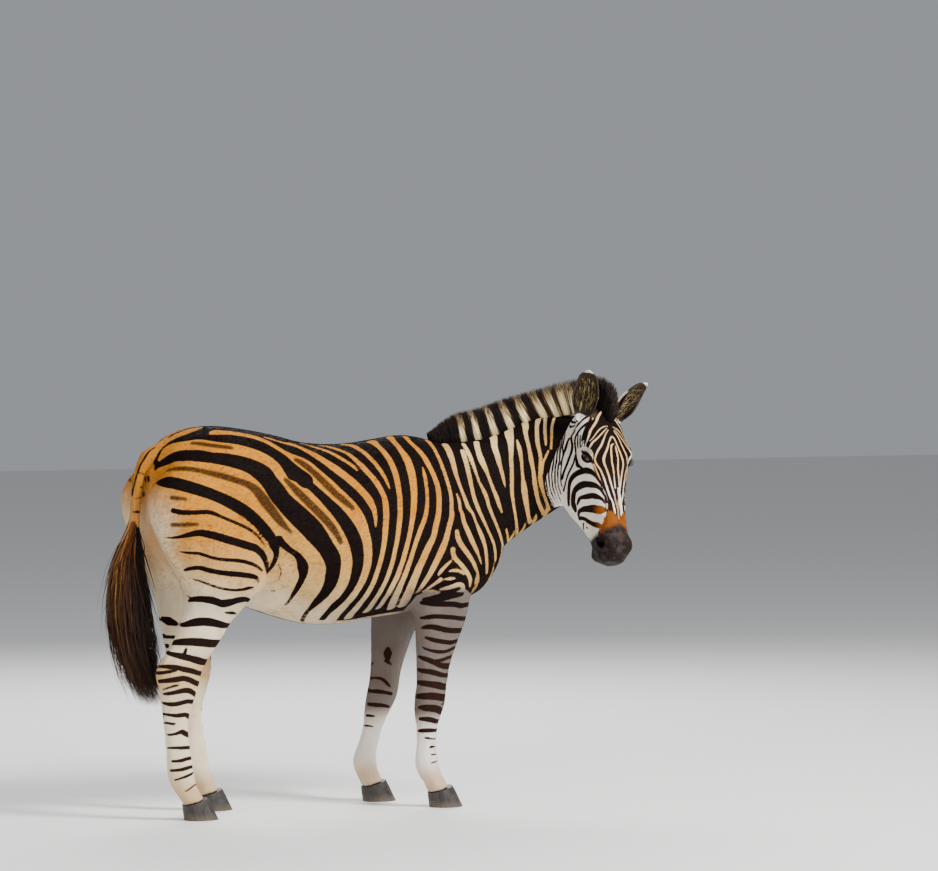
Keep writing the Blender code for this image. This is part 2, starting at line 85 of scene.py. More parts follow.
# The eye: place along the head, rise and distance from its middle.
EYE_PLACE = (0.194, 0.022, 0.0785)
EYE_RADIUS = 0.021
# Each ear: its base on the head, the way its tip points, the way its hollow faces.
EARS = {
    "right": ((0.046, 0.010, -0.068), (0.02, -0.26, 1.0), (-0.55, -0.83, 0.0)),
    "left": ((0.024, -0.003, 0.080), (0.72, -0.25, 0.89), (0.34, -0.86, -0.36)),
}
EAR_LENGTH = 0.176
EAR_HALF_WIDTH = 0.040

# The trunk's own axis: x and height.
TRUNK_AXIS = [
    (-0.62, 1.10), (-0.47, 1.06), (-0.25, 1.00), (0.0, 0.93), (0.35, 0.93), (0.75, 0.93),
]

# The neck's own axis: distance along it, then x, y and z.
NECK_AXIS = [
    (0.00, 0.420, 0.000, 1.000),
    (0.13, 0.550, 0.000, 1.030),
    (0.24, 0.665, 0.000, 1.066),
    (0.35, 0.768, -0.009, 1.106),
    (0.46, 0.857, -0.035, 1.152),
    (0.55, 0.932, -0.070, 1.202),
    (0.62, 0.985, -0.105, 1.246),
    (0.67, 1.013, -0.138, 1.270),
]

# Leg axes: z, x and distance from the middle.
LEG_AXES = {
    "fore_right": [
        (0.850, 0.455, 0.138),
        (0.720, 0.438, 0.150),
        (0.600, 0.424, 0.150),
        (0.440, 0.406, 0.142),
        (0.370, 0.402, 0.138),
        (0.230, 0.390, 0.136),
        (0.135, 0.396, 0.136),
        (0.050, 0.440, 0.138),
    ],
    "fore_left": [
        (0.850, 0.450, 0.138),
        (0.720, 0.424, 0.150),
        (0.600, 0.400, 0.150),
        (0.440, 0.366, 0.142),
        (0.360, 0.350, 0.138),
        (0.230, 0.308, 0.136),
        (0.135, 0.285, 0.136),
        (0.050, 0.318, 0.138),
    ],
    "hind_right": [
        (0.980, -0.415, 0.124),
        (0.880, -0.392, 0.132),
        (0.800, -0.380, 0.138),
        (0.740, -0.398, 0.142),
        (0.670, -0.440, 0.140),
        (0.600, -0.474, 0.136),
        (0.510, -0.530, 0.132),
        (0.430, -0.538, 0.130),
        (0.340, -0.546, 0.130),
        (0.220, -0.534, 0.130),
        (0.135, -0.522, 0.130),
        (0.050, -0.478, 0.132),
    ],
    "hind_left": [
        (0.980, -0.410, 0.124),
        (0.880, -0.385, 0.132),
        (0.800, -0.380, 0.138),
        (0.740, -0.388, 0.142),
        (0.670, -0.400, 0.140),
        (0.600, -0.394, 0.134),
        (0.510, -0.384, 0.128),
        (0.430, -0.385, 0.124),
        (0.340, -0.388, 0.122),
        (0.220, -0.370, 0.120),
        (0.135, -0.357, 0.120),
        (0.050, -0.313, 0.122),
    ],
}
# The dock's axis: z and x.
TAIL_AXIS = [
    (1.270, -0.520), (1.240, -0.578), (1.190, -0.612), (1.130, -0.627), (1.060, -0.636), (0.960, -0.645),
]

# Every mark is a brush stroke on a chart of the hide: place along the part in metres, angle round it in
# degrees, and half width in millimetres. Light strokes lie on the dark fore part, dark ones on the rest.
LIGHT_TRUNK = [
    [(-0.575, 3, 16), (-0.54, 4, 22), (-0.50, 6, 28), (-0.46, 8, 30), (-0.43, 6, 22), (-0.41, 3, 14)],
    [(-0.56, 21, 27), (-0.50, 30, 29), (-0.44, 37, 26), (-0.40, 39, 23), (-0.30, 39.5, 24), (-0.25, 41, 24),
     (-0.22, 44, 22), (-0.205, 48, 20), (-0.19, 56, 20), (-0.17, 60, 30), (-0.14, 62, 38), (-0.08, 72, 33),
     (-0.024, 84, 28), (0.016, 97, 20), (0.016, 110, 20), (0.006, 122, 19), (-0.024, 134, 17),
     (-0.042, 146, 24), (-0.037, 160, 24), (-0.015, 172, 24)],
    [(-0.41, 23, 4), (-0.385, 20, 20), (-0.35, 20.5, 17), (-0.25, 20, 15), (-0.218, 23, 13),
     (-0.184, 27, 14), (-0.16, 31, 15), (-0.126, 37, 33), (-0.097, 38, 37), (-0.06, 44.5, 33),
     (-0.024, 51, 30), (0.024, 60.5, 27), (0.065, 72, 26), (0.088, 85, 18), (0.097, 97, 16),
     (0.091, 110, 14), (0.068, 123, 13), (0.041, 135, 14), (0.024, 146, 20), (0.032, 158, 20)],
    [(-0.20, 17, 6), (-0.126, 19.5, 7), (-0.10, 16.5, 12), (-0.05, 22, 14), (-0.018, 27, 16),
     (0.024, 36, 17), (0.065, 45, 16), (0.097, 53, 15), (0.12, 60, 15), (0.134, 68, 10), (0.132, 75, 7),
     (0.13, 80, 3)],
    [(-0.05, 9, 4), (-0.02, 12, 6), (0.02, 16, 9), (0.05, 23, 9), (0.08, 30, 8), (0.10, 35, 7),
     (0.104, 37, 3)],
    [(0.03, 8, 7), (0.08, 15, 9), (0.11, 24, 9), (0.132, 35, 12), (0.165, 46, 12), (0.18, 55, 11),
     (0.184, 61, 12), (0.179, 70, 12), (0.166, 85, 11), (0.154, 97, 9), (0.135, 110, 9), (0.12, 122, 10),
     (0.10, 132, 11), (0.084, 143, 14), (0.087, 152, 15)],
    [(0.13, 4, 12), (0.145, 9, 12), (0.16, 17, 10), (0.175, 26, 9), (0.19, 33, 9), (0.203, 41, 8),
     (0.21, 47, 6), (0.212, 50, 3)],
    [(0.228, 6, 17), (0.232, 15, 10), (0.2485, 27, 12), (0.254, 38, 12), (0.247, 61, 11), (0.2285, 79, 11),
     (0.213, 91, 9), (0.182, 113, 9), (0.168, 122, 9), (0.1485, 134, 11), (0.143, 145, 13)],
    [(0.3055, 3, 14), (0.2985, 10, 10), (0.307, 18, 11), (0.319, 25, 16), (0.322, 35, 16), (0.3115, 56, 13),
     (0.2885, 75, 11), (0.2765, 83.5, 10), (0.246, 100, 10), (0.211, 120, 11), (0.193, 131, 10),
     (0.185, 143, 10)],
    [(0.373, 30, 4), (0.374, 36, 8), (0.3705, 46, 7), (0.365, 56, 7), (0.3575, 63, 8), (0.345, 72, 9),
     (0.318, 83.5, 9), (0.28, 100, 9), (0.243, 120, 11), (0.235, 129, 14), (0.233, 139, 16),
     (0.243, 147, 14)],
    [(0.359, 5.5, 10), (0.3605, 12.5, 9), (0.385, 18, 11), (0.40, 25, 12), (0.4155, 35, 11),
     (0.4225, 44.5, 12), (0.4105, 64, 11), (0.385, 81, 12), (0.376, 89, 11), (0.35, 97, 13),
     (0.3255, 106, 14), (0.2995, 115.5, 16), (0.287, 125, 18), (0.2825, 135, 20), (0.286, 145, 18)],
    [(0.446, 5.5, 12), (0.4515, 12.5, 8), (0.466, 30.6, 8), (0.477, 50, 8), (0.46, 67, 9), (0.436, 83.5, 9),
     (0.4265, 92, 10), (0.408, 100, 12), (0.3865, 108.5, 12), (0.3375, 125, 11), (0.32, 132, 5)],
    [(0.501, 45, 4), (0.509, 51.5, 7), (0.505, 60, 7), (0.50, 67, 8), (0.501, 74, 9), (0.5165, 83.5, 11),
     (0.53, 92, 12), (0.5465, 100, 12), (0.5715, 110, 10), (0.5885, 118, 6), (0.598, 124, 2)],
    [(0.471, 84, 8), (0.4715, 90, 10), (0.4845, 97, 10), (0.5075, 104, 10), (0.5305, 111, 9),
     (0.5485, 118, 10), (0.5685, 125, 10), (0.584, 133.5, 10), (0.595, 145, 10)],
    [(0.449, 100, 9), (0.449, 106, 9), (0.469, 110, 8), (0.4935, 115.5, 8), (0.509, 120, 9),
     (0.524, 125, 9), (0.524, 129, 7)],
    [(0.438, 109, 4), (0.42, 112, 5), (0.40, 116.5, 6), (0.393, 119, 4)],
    [(0.432, 116, 3), (0.455, 115.5, 6), (0.475, 117, 5), (0.49, 119, 4)],
    [(0.414, 121.5, 3), (0.435, 121, 6), (0.452, 121, 3)],
    [(0.40, 122, 7), (0.385, 124.5, 5), (0.36, 129, 4), (0.34, 132, 3)],
    [(0.40, 128, 4), (0.42, 127, 6), (0.445, 126, 7), (0.47, 125, 8), (0.49, 127, 8), (0.495, 131, 6)],
    [(0.515, 5.5, 13), (0.5165, 14, 14), (0.5135, 25, 11), (0.5165, 32, 8), (0.5265, 40, 7), (0.538, 50, 9),
     (0.555, 68, 11), (0.586, 83.5, 12), (0.61, 100, 8), (0.6205, 120, 8), (0.633, 138, 6)],
    [(0.571, 10, 9), (0.576, 35, 9), (0.577, 42, 10), (0.591, 56, 10), (0.604, 64, 8), (0.627, 81, 6),
     (0.649, 97, 7), (0.66, 107, 7), (0.671, 128, 7)],
]
LIGHT_NECK = [
    [(0.226, 8, 8), (0.22, 22, 8), (0.213, 37, 6), (0.209, 47, 5), (0.207, 58, 5), (0.213, 80, 8),
     (0.213, 91, 7), (0.209, 103, 7), (0.215, 125, 6), (0.229, 150, 6), (0.236, 160, 6)],
    [(0.283, 9, 10), (0.264, 20, 10), (0.258, 30, 12), (0.258, 41, 9), (0.2555, 52, 6), (0.252, 72, 6),
     (0.2535, 97, 8), (0.251, 110, 7), (0.2535, 120.5, 3)],
    [(0.254, 143, 4), (0.258, 155, 5), (0.266, 168, 6)],
    [(0.3705, 5, 14), (0.3605, 12.5, 12), (0.339, 20, 11), (0.333, 30, 10), (0.324, 37.5, 9),
     (0.3185, 47, 7), (0.3075, 69, 6), (0.304, 78, 4), (0.303, 85, 2)],
    [(0.448, 5, 16), (0.4335, 14, 15), (0.418, 22, 10), (0.3935, 41, 7), (0.366, 59.5, 7), (0.34, 81, 7),
     (0.3165, 103, 7), (0.3035, 128, 5), (0.2975, 153, 6), (0.303, 166, 7)],
    [(0.453, 24, 3), (0.4445, 33, 7), (0.4355, 41, 7), (0.417, 58, 5), (0.401, 81, 5), (0.394, 92, 6),
     (0.387, 102, 9), (0.3765, 113, 11), (0.3665, 124, 10), (0.351, 147, 7), (0.357, 160, 8)],
    [(0.516, 5, 12), (0.5125, 14, 11), (0.4975, 22, 7), (0.481, 41, 6), (0.463, 63, 8), (0.4505, 84.5, 6),
     (0.429, 110, 8), (0.412, 135, 7), (0.41, 149, 7), (0.414, 163, 7)],
    [(0.571, 5, 10), (0.5615, 14, 9), (0.548, 22, 7), (0.516, 41, 7), (0.5055, 59.5, 6), (0.50, 70.5, 6),
     (0.477, 92, 6), (0.4545, 114, 8), (0.4395, 138, 5), (0.4375, 163, 6)],
    [(0.591, 9, 6), (0.583, 20, 6), (0.5675, 31, 6), (0.548, 47, 5), (0.54, 54, 3)],
    [(0.619, 9, 4), (0.611, 20, 5), (0.599, 31, 5), (0.583, 41, 5), (0.5595, 58, 4), (0.55, 66, 4)],
]
DARK_TRUNK = [
    [(-0.578, 20, 5), (-0.563, 13, 7), (-0.552, 11, 8), (-0.535, 13, 9), (-0.50, 21, 12), (-0.47, 24, 14),
     (-0.38, 29, 17), (-0.28, 27, 18), (-0.24, 27, 17), (-0.20, 31, 17), (-0.17, 38, 25), (-0.15, 44, 30),
     (-0.11, 50, 33)],
    [(-0.43, 22, 8), (-0.42, 15, 9), (-0.405, 11, 11), (-0.37, 11, 14), (-0.29, 13, 12), (-0.235, 13.5, 6),
     (-0.21, 17, 5)],
    [(-0.586, 30, 8), (-0.553, 35, 20), (-0.519, 42, 27), (-0.48, 45, 25), (-0.44, 48, 21),
     (-0.385, 49.5, 23), (-0.318, 51, 27), (-0.284, 53, 33), (-0.251, 57.5, 34), (-0.224, 65, 36),
     (-0.20, 71, 33), (-0.177, 75, 36), (-0.134, 82, 38), (-0.10, 87.5, 38), (-0.056, 97, 30),
     (-0.031, 106.5, 26), (-0.03, 114, 26), (-0.04, 125, 19), (-0.06, 134, 13), (-0.0735, 145, 7),
     (-0.07, 157, 8), (-0.047, 169, 8)],
    [(-0.592, 73, 22), (-0.553, 76, 22), (-0.50, 78, 21), (-0.44, 80, 20), (-0.385, 83, 21),
     (-0.335, 87, 21), (-0.30, 92, 21), (-0.268, 98, 22), (-0.241, 104, 20), (-0.228, 110, 12),
     (-0.226, 115, 9), (-0.235, 121, 8), (-0.25, 129, 3)],
    [(-0.22, 101, 14), (-0.20, 105, 12), (-0.17, 107, 10), (-0.15, 109, 13), (-0.132, 115, 20),
     (-0.129, 123, 12), (-0.14, 132, 10), (-0.147, 143, 6), (-0.15, 150, 5)],
    [(-0.215, 119, 3), (-0.20, 125, 3), (-0.205, 130, 3)],
    [(-0.215, 142, 3), (-0.205, 141, 3)],
    [(-0.59, 103, 9), (-0.56, 102, 9), (-0.52, 98.5, 8), (-0.49, 96, 8), (-0.465, 94.5, 8), (-0.43, 96, 6),
     (-0.36, 98, 6), (-0.32, 100, 6), (-0.295, 103, 5), (-0.275, 107, 4), (-0.263, 110, 2)],
    [(-0.587, 126.5, 4), (-0.567, 122, 6), (-0.54, 117, 9), (-0.51, 113, 11), (-0.48, 111.5, 13),
     (-0.44, 111, 14), (-0.31, 112, 14), (-0.285, 114, 13), (-0.265, 118, 11), (-0.255, 123, 8),
     (-0.249, 129, 3)],
    [(-0.560, 132, 3), (-0.54, 129.5, 5), (-0.505, 126, 6), (-0.44, 125, 6), (-0.365, 122, 7),
     (-0.31, 123, 7), (-0.285, 125, 6), (-0.27, 127, 4)],
    [(-0.537, 142, 5), (-0.525, 138, 7), (-0.505, 135, 8), (-0.48, 133.5, 9), (-0.44, 132, 9),
     (-0.36, 130, 10), (-0.30, 130, 9), (-0.285, 132, 6), (-0.28, 135, 2)],
    [(-0.51, 143, 3), (-0.48, 140, 5), (-0.385, 139, 5), (-0.345, 138, 6), (-0.32, 137, 7),
     (-0.30, 137, 4)],
    [(-0.515, 154, 3), (-0.505, 150, 5), (-0.48, 148, 6), (-0.44, 146, 6), (-0.40, 144, 7), (-0.36, 143, 7),
     (-0.325, 143.5, 6), (-0.305, 146, 3)],
]
# The dark line down the back and the one under the belly.
MIDLINE = [
    [(-0.59, 0, 11), (-0.50, 0, 11), (-0.40, 0, 13), (-0.20, 0, 14), (0.10, 0, 10), (0.30, 0, 8),
     (0.42, 0, 8)],
    [(-0.30, 180, 10), (-0.10, 180, 14), (0.10, 180, 14), (0.30, 180, 12)],
]
SHADOW_TRUNK = [
    [(-0.575, 54, 3), (-0.555, 57, 5), (-0.48, 60, 5), (-0.40, 63, 6), (-0.36, 64.5, 6), (-0.32, 66, 7),
     (-0.295, 69, 9), (-0.27, 75, 10), (-0.245, 80, 9), (-0.22, 86, 8), (-0.205, 89, 6), (-0.18, 93, 3)],
    [(-0.48, 30, 4), (-0.44, 36, 5), (-0.40, 38, 5), (-0.36, 38.5, 4)],
    [(-0.182, 54, 5), (-0.145, 61, 8), (-0.10, 69, 8), (-0.06, 76, 8), (-0.025, 83, 7), (-0.006, 90, 5)],
    [(-0.12, 35, 5), (-0.10, 36, 8), (-0.07, 41, 8), (-0.035, 49, 8), (0.02, 60, 7), (0.05, 66, 5)],
    [(-0.59, 91, 4), (-0.57, 90, 4), (-0.545, 89, 3)],
    [(-0.59, 116, 4), (-0.57, 113, 4), (-0.535, 109, 4), (-0.51, 107, 3)],
]
DARK_FORELEG = [
    [(0.74, 57, 6), (0.742, 70, 9), (0.737, 90, 9), (0.73, 110, 9), (0.725, 130, 8), (0.72, 152, 5)],
    [(0.698, -60, 5), (0.70, 40, 5), (0.695, 50, 6), (0.705, 75, 6), (0.705, 125, 6), (0.71, 145, 6),
     (0.71, 158, 4)],
    [(0.648, -60, 5), (0.65, 35, 5), (0.655, 50, 5), (0.66, 90, 5), (0.664, 130, 5), (0.66, 145, 5),
     (0.657, 162, 3)],
    [(0.61, -60, 5), (0.61, 50, 6), (0.615, 90, 6), (0.627, 130, 6), (0.627, 150, 5), (0.622, 162, 2)],
    [(0.572, -60, 5), (0.575, 33, 5), (0.57, 50, 5), (0.573, 90, 5), (0.582, 130, 5), (0.59, 150, 3)],
    [(0.55, -20, 3), (0.553, 33, 4), (0.54, 65, 4), (0.539, 105, 4), (0.548, 145, 3), (0.557, 158, 2)],
    [(0.523, -50, 4), (0.523, 33, 4), (0.515, 65, 4), (0.512, 80, 4), (0.507, 118, 4)],
    [(0.487, -60, 6), (0.487, 50, 7), (0.493, 90, 6), (0.507, 122, 6), (0.519, 158, 5), (0.523, 174, 3)],
    [(0.455, -60, 5), (0.455, 50, 5), (0.463, 90, 6), (0.472, 125, 6), (0.475, 165, 5), (0.478, 185, 3)],
    [(0.414, -60, 7), (0.415, 45, 7), (0.424, 80, 8), (0.428, 120, 7), (0.433, 160, 6), (0.433, 185, 4)],
    [(0.378, -60, 8), (0.378, 40, 8), (0.383, 70, 8), (0.388, 110, 8), (0.387, 150, 7), (0.385, 178, 5)],
    [(0.357, -40, 2), (0.36, 22, 3), (0.356, 50, 2)],
    [(0.325, -60, 7), (0.328, 35, 7), (0.34, 65, 8), (0.345, 100, 8), (0.347, 140, 7), (0.348, 162, 3)],
    [(0.295, -60, 5), (0.296, 45, 5), (0.301, 80, 6), (0.308, 120, 6), (0.308, 158, 4)],
    [(0.265, -60, 3), (0.267, 50, 4), (0.268, 100, 5), (0.268, 145, 5), (0.266, 172, 3)],
    [(0.237, -40, 2), (0.238, 90, 2), (0.242, 110, 3), (0.243, 132, 2)],
    [(0.21, -30, 2), (0.21, 60, 2), (0.212, 75, 3), (0.208, 95, 2)],
    [(0.185, -30, 2), (0.185, 60, 2), (0.183, 90, 1.5)],
    [(0.162, 20, 1.5), (0.160, 60, 2), (0.155, 100, 1.5)],
]
DARK_HINDLEG = [
    [(0.735, 20, 4), (0.746, 50, 7), (0.73, 85, 8), (0.73, 100, 8), (0.745, 130, 8), (0.75, 150, 7),
     (0.74, 172, 3)],
    [(0.693, 30, 2), (0.698, 50, 4), (0.70, 72, 2)],
    [(0.652, -60, 5), (0.652, 25, 6), (0.66, 60, 8), (0.67, 100, 9), (0.672, 140, 9), (0.66, 165, 6),
     (0.66, 178, 4)],
    [(0.595, -60, 8), (0.593, 20, 9), (0.597, 60, 9), (0.602, 100, 9), (0.605, 150, 8), (0.60, 182, 6)],
    [(0.53, -60, 7), (0.53, 20, 7), (0.54, 55, 8), (0.547, 95, 7), (0.555, 135, 7), (0.565, 170, 5),
     (0.57, 190, 4)],
    [(0.58, 136, 3), (0.565, 133, 4)],
    [(0.49, -60, 5), (0.49, 15, 5), (0.508, 65, 6), (0.512, 105, 6), (0.522, 140, 5), (0.523, 170, 4),
     (0.52, 190, 3)],
    [(0.51, 130, 3), (0.505, 150, 4), (0.50, 172, 4), (0.50, 190, 3)],
    [(0.457, -50, 5), (0.457, 25, 6), (0.473, 55, 6), (0.48, 85, 6), (0.483, 100, 6), (0.478, 135, 6),
     (0.472, 174, 4)],
    [(0.46, 115, 2), (0.458, 130, 3), (0.453, 145, 2.5), (0.445, 165, 2)],
    [(0.42, -40, 4), (0.42, 20, 5), (0.437, 50, 6), (0.443, 80, 6), (0.437, 120, 5), (0.43, 155, 4),
     (0.43, 167, 2)],
    [(0.40, -40, 4), (0.40, 35, 5), (0.405, 60, 5), (0.398, 100, 5), (0.394, 140, 5), (0.40, 176, 3)],
    [(0.35, -50, 5), (0.347, 20, 6), (0.36, 50, 5), (0.357, 90, 5), (0.357, 130, 4), (0.362, 170, 3),
     (0.36, 190, 3)],
    [(0.33, 120, 2), (0.328, 130, 3), (0.331, 150, 3), (0.333, 170, 2.5), (0.328, 210, 2)],
    [(0.288, -50, 5), (0.288, 30, 6), (0.298, 65, 6), (0.303, 80, 5), (0.297, 110, 3.5), (0.292, 150, 3),
     (0.293, 167, 2)],
    [(0.24, -30, 3), (0.248, 30, 4), (0.247, 90, 4), (0.249, 140, 3), (0.247, 172, 2.5)],
    [(0.21, -20, 3), (0.212, 60, 4), (0.205, 100, 4), (0.203, 152, 3)],
    [(0.182, -10, 3), (0.182, 60, 4), (0.175, 105, 4), (0.172, 162, 3)],
    [(0.166, 10, 2), (0.157, 60, 3), (0.15, 100, 3), (0.14, 150, 2)],
    [(0.125, 10, 1.5), (0.12, 60, 2), (0.11, 90, 2), (0.10, 130, 1.5)],
]
DARK_TAIL = [
    [(1.25, 50, 4), (1.20, 50, 4), (1.165, 38, 4), (1.13, 25, 4), (1.09, 8, 4)],
    [(1.165, 50, 3), (1.165, 90, 3), (1.155, 120, 3), (1.145, 140, 2)],
    [(1.12, 80, 2), (1.117, 110, 3.5), (1.115, 160, 3.5)],
    [(1.08, 60, 2.5), (1.083, 100, 3), (1.083, 170, 3)],
    [(1.065, 100, 1.5), (1.063, 150, 2.5)],
    [(1.035, 40, 3), (1.035, 90, 5), (1.035, 170, 5)],
    [(1.0, 50, 2), (1.0, 65, 3.5), (1.0, 78, 2)],
    [(0.975, 30, 2), (0.978, 90, 4), (0.98, 170, 6)],
]
# The dark ground of the forehead and nose ends here: place along the head and angle.
FACE_EDGE = [
    (-0.05, 30), (0.03, 31), (0.05, 36), (0.06, 38), (0.07, 41), (0.08, 44), (0.09, 48), (0.10, 51),
    (0.12, 56), (0.135, 58), (0.145, 53), (0.16, 50), (0.17, 46), (0.18, 42), (0.19, 40), (0.205, 41),
    (0.22, 43), (0.24, 41.5), (0.26, 38.5), (0.28, 35.5), (0.30, 33), (0.32, 30.5), (0.34, 28.5),
    (0.36, 27.5), (0.43, 27),
]
LIGHT_FACE = [
    [(0.127, 3, 2.5), (0.13, 6, 2.5), (0.14, 8.5, 2.5), (0.15, 11, 2.5), (0.16, 13, 2.5), (0.17, 15, 3),
     (0.18, 17.5, 3), (0.19, 20, 3.5), (0.20, 22.5, 4), (0.21, 24, 4), (0.225, 23.5, 3.5), (0.24, 20.5, 3),
     (0.26, 17.5, 3), (0.28, 15, 3), (0.30, 12.5, 2.5), (0.32, 9.5, 2.5), (0.34, 7, 2.5), (0.36, 4.5, 2.5),
     (0.38, 3.5, 2.5), (0.40, 3, 3), (0.415, 1.5, 2)],
    [(0.105, 9, 1.5), (0.115, 13, 2), (0.125, 16.5, 2), (0.14, 20, 2.5), (0.15, 22.5, 3), (0.16, 25, 3.2),
     (0.17, 28, 3), (0.18, 32, 3), (0.19, 34.5, 3), (0.20, 37, 2.5), (0.21, 38.5, 2.5), (0.22, 37.5, 2.5),
     (0.23, 35, 2.5), (0.24, 32, 2.5), (0.25, 29.5, 2.5), (0.28, 25, 2.8), (0.30, 22.5, 2.8),
     (0.32, 20, 2.8), (0.34, 17, 2.5), (0.35, 13.5, 2.5), (0.36, 12, 3), (0.38, 11, 3.5), (0.393, 10, 2)],
    [(0.098, 11, 1.2), (0.11, 17, 1.8), (0.12, 22, 2), (0.13, 27, 2), (0.14, 32, 2.2), (0.15, 37, 2.5),
     (0.16, 41, 3), (0.17, 44, 3), (0.176, 46, 2)],
    [(0.09, 8, 1), (0.092, 15, 1.8), (0.10, 22, 2), (0.11, 27.5, 1.8), (0.12, 31.5, 1.5), (0.13, 35, 1.5),
     (0.14, 39, 1.5), (0.147, 42.5, 1.2)],
    [(0.01, -6, 2), (0.02, 0, 2.5), (0.03, 9, 3), (0.035, 13, 3), (0.045, 18, 3.2), (0.055, 22, 3.5),
     (0.065, 25, 4), (0.08, 30, 4.5), (0.09, 34, 4.5), (0.10, 38, 4), (0.115, 41, 3.5), (0.13, 44, 3),
     (0.14, 46, 2.5), (0.146, 46.5, 1.5)],
    [(0.022, 21, 2), (0.035, 27, 2), (0.045, 30, 2), (0.055, 31.5, 2), (0.066, 33, 1.5)],
    [(0.139, 47, 1.5), (0.136, 53, 2), (0.145, 56.5, 2.2), (0.16, 58.5, 2)],
    [(0.147, 48, 1.5), (0.158, 50.5, 2), (0.168, 52.5, 2)],
    [(0.218, 41.5, 1.5), (0.23, 40, 1.8), (0.24, 38, 2), (0.26, 35.5, 2.2), (0.28, 32.5, 2), (0.29, 31, 2),
     (0.30, 29.5, 2), (0.31, 28, 2), (0.32, 26, 2.2), (0.33, 24.8, 2.2), (0.34, 24.2, 2), (0.36, 24, 2),
     (0.375, 25, 2)],
]
LIGHT_BLAZE = [
    [(0.152, 1.5, 1.5), (0.156, 5, 2.5), (0.16, 7, 2.8), (0.17, 8, 3.2), (0.19, 8.5, 3.5), (0.21, 8.5, 3.5),
     (0.22, 8.3, 3.2), (0.235, 7, 3), (0.25, 6.3, 2.8), (0.27, 6, 2.5), (0.29, 6, 2.5), (0.305, 5, 2.5)],
    [(0.159, -2, 2), (0.17, -2.5, 3.5), (0.18, -4, 3.7), (0.20, -5.5, 3.7), (0.21, -5.5, 3.7),
     (0.22, -4.8, 3.7), (0.235, -3.8, 3.7), (0.25, -4, 3.5), (0.27, -4.2, 3), (0.29, -4.5, 2.5),
     (0.31, -5, 3)],
    [(0.305, -1, 3), (0.32, -2, 6.5), (0.335, -4, 7), (0.36, -5, 7), (0.385, -6, 7.5), (0.41, -6, 7)],
]
DARK_HEAD = [
    [(0.068, 30, 3), (0.08, 36, 5), (0.09, 40, 6), (0.10, 44, 6), (0.115, 48, 6), (0.13, 50, 6),
     (0.138, 49, 3)],
    [(0.048, 38, 4), (0.055, 47, 4), (0.063, 55, 3), (0.07, 62, 3), (0.075, 70, 2), (0.08, 78, 1.5)],
    [(0.07, 36, 3), (0.08, 46, 4), (0.086, 53, 4), (0.095, 62, 4), (0.103, 70, 4), (0.115, 75, 4),
     (0.13, 76, 4), (0.15, 75.5, 4), (0.165, 77, 3), (0.18, 78, 4), (0.195, 79, 7), (0.203, 79, 7),
     (0.212, 72, 4), (0.222, 66, 3)],
    [(0.03, 102, 2), (0.038, 92, 2.5), (0.045, 85, 3), (0.05, 78, 3), (0.055, 70, 3), (0.058, 61, 2)],
    [(0.05, 98, 2), (0.06, 92, 3), (0.063, 85, 2.5), (0.065, 72, 2)],
    [(0.085, 72, 2), (0.09, 78, 3), (0.093, 85, 3.5), (0.10, 89, 5), (0.11, 88, 5), (0.12, 86, 5),
     (0.135, 85.5, 6), (0.148, 89, 6), (0.16, 98, 5), (0.17, 109, 5), (0.178, 115, 4), (0.195, 130, 4),
     (0.215, 143, 4), (0.23, 152, 4)],
    [(0.10, 97, 4), (0.103, 103, 5), (0.115, 109, 6), (0.125, 113, 6), (0.14, 118, 4), (0.155, 124, 3),
     (0.17, 131, 2)],
    [(0.17, 80, 3), (0.18, 85, 3.5), (0.19, 92, 3.5), (0.195, 98, 3.5), (0.205, 115, 3.5),
     (0.215, 125, 3.5), (0.235, 140, 3.5), (0.25, 150, 4)],
    [(0.35, 20, 2), (0.325, 23, 2.5), (0.31, 26, 2.5), (0.295, 30, 3), (0.28, 35, 3.5), (0.265, 38.5, 4),
     (0.25, 44, 6), (0.243, 48, 8), (0.235, 55, 9), (0.231, 62, 9), (0.23, 70, 8), (0.228, 80, 8),
     (0.227, 100, 8), (0.23, 110, 8), (0.236, 120, 8), (0.247, 128, 8), (0.26, 135, 8), (0.275, 142, 8),
     (0.30, 152, 7)],
    [(0.355, 24, 2), (0.335, 26, 2.5), (0.325, 29, 3), (0.31, 33, 3.5), (0.30, 37, 5), (0.292, 42, 7),
     (0.285, 50, 9), (0.278, 60, 9), (0.272, 72, 10), (0.269, 95, 10), (0.272, 113, 9), (0.277, 120, 9),
     (0.287, 128, 11), (0.30, 135, 13), (0.312, 139, 14), (0.33, 140, 9)],
    [(0.355, 29, 2), (0.345, 31, 3), (0.335, 36, 5), (0.325, 45, 8), (0.318, 55, 8), (0.315, 65, 8),
     (0.308, 90, 6), (0.306, 100, 5), (0.307, 110, 6), (0.313, 118, 5), (0.319, 125, 3)],
    [(0.378, 32, 8), (0.375, 38, 12), (0.37, 45, 12), (0.362, 55, 12), (0.357, 65, 11), (0.35, 85, 9),
     (0.344, 105, 8), (0.342, 125, 6), (0.345, 132, 6), (0.352, 138, 5)],
    [(0.43, 42, 6), (0.42, 50, 8), (0.414, 60, 7), (0.40, 80, 6), (0.387, 100, 6), (0.372, 120, 5),
     (0.363, 140, 6)],
    [(0.41, 108, 2), (0.405, 116, 2)],
    [(0.388, 128, 3), (0.39, 135, 4), (0.40, 142, 5)],
    [(0.113, 58, 2), (0.125, 60, 3), (0.14, 61, 3), (0.152, 61.5, 2)],
    [(0.106, 64, 2), (0.12, 66, 3), (0.135, 67.5, 3.5), (0.15, 68, 2)],
    [(0.145, 50, 1.5), (0.156, 53, 1.5)],
    [(0.142, 55, 1.5), (0.153, 59, 1.5)],
]
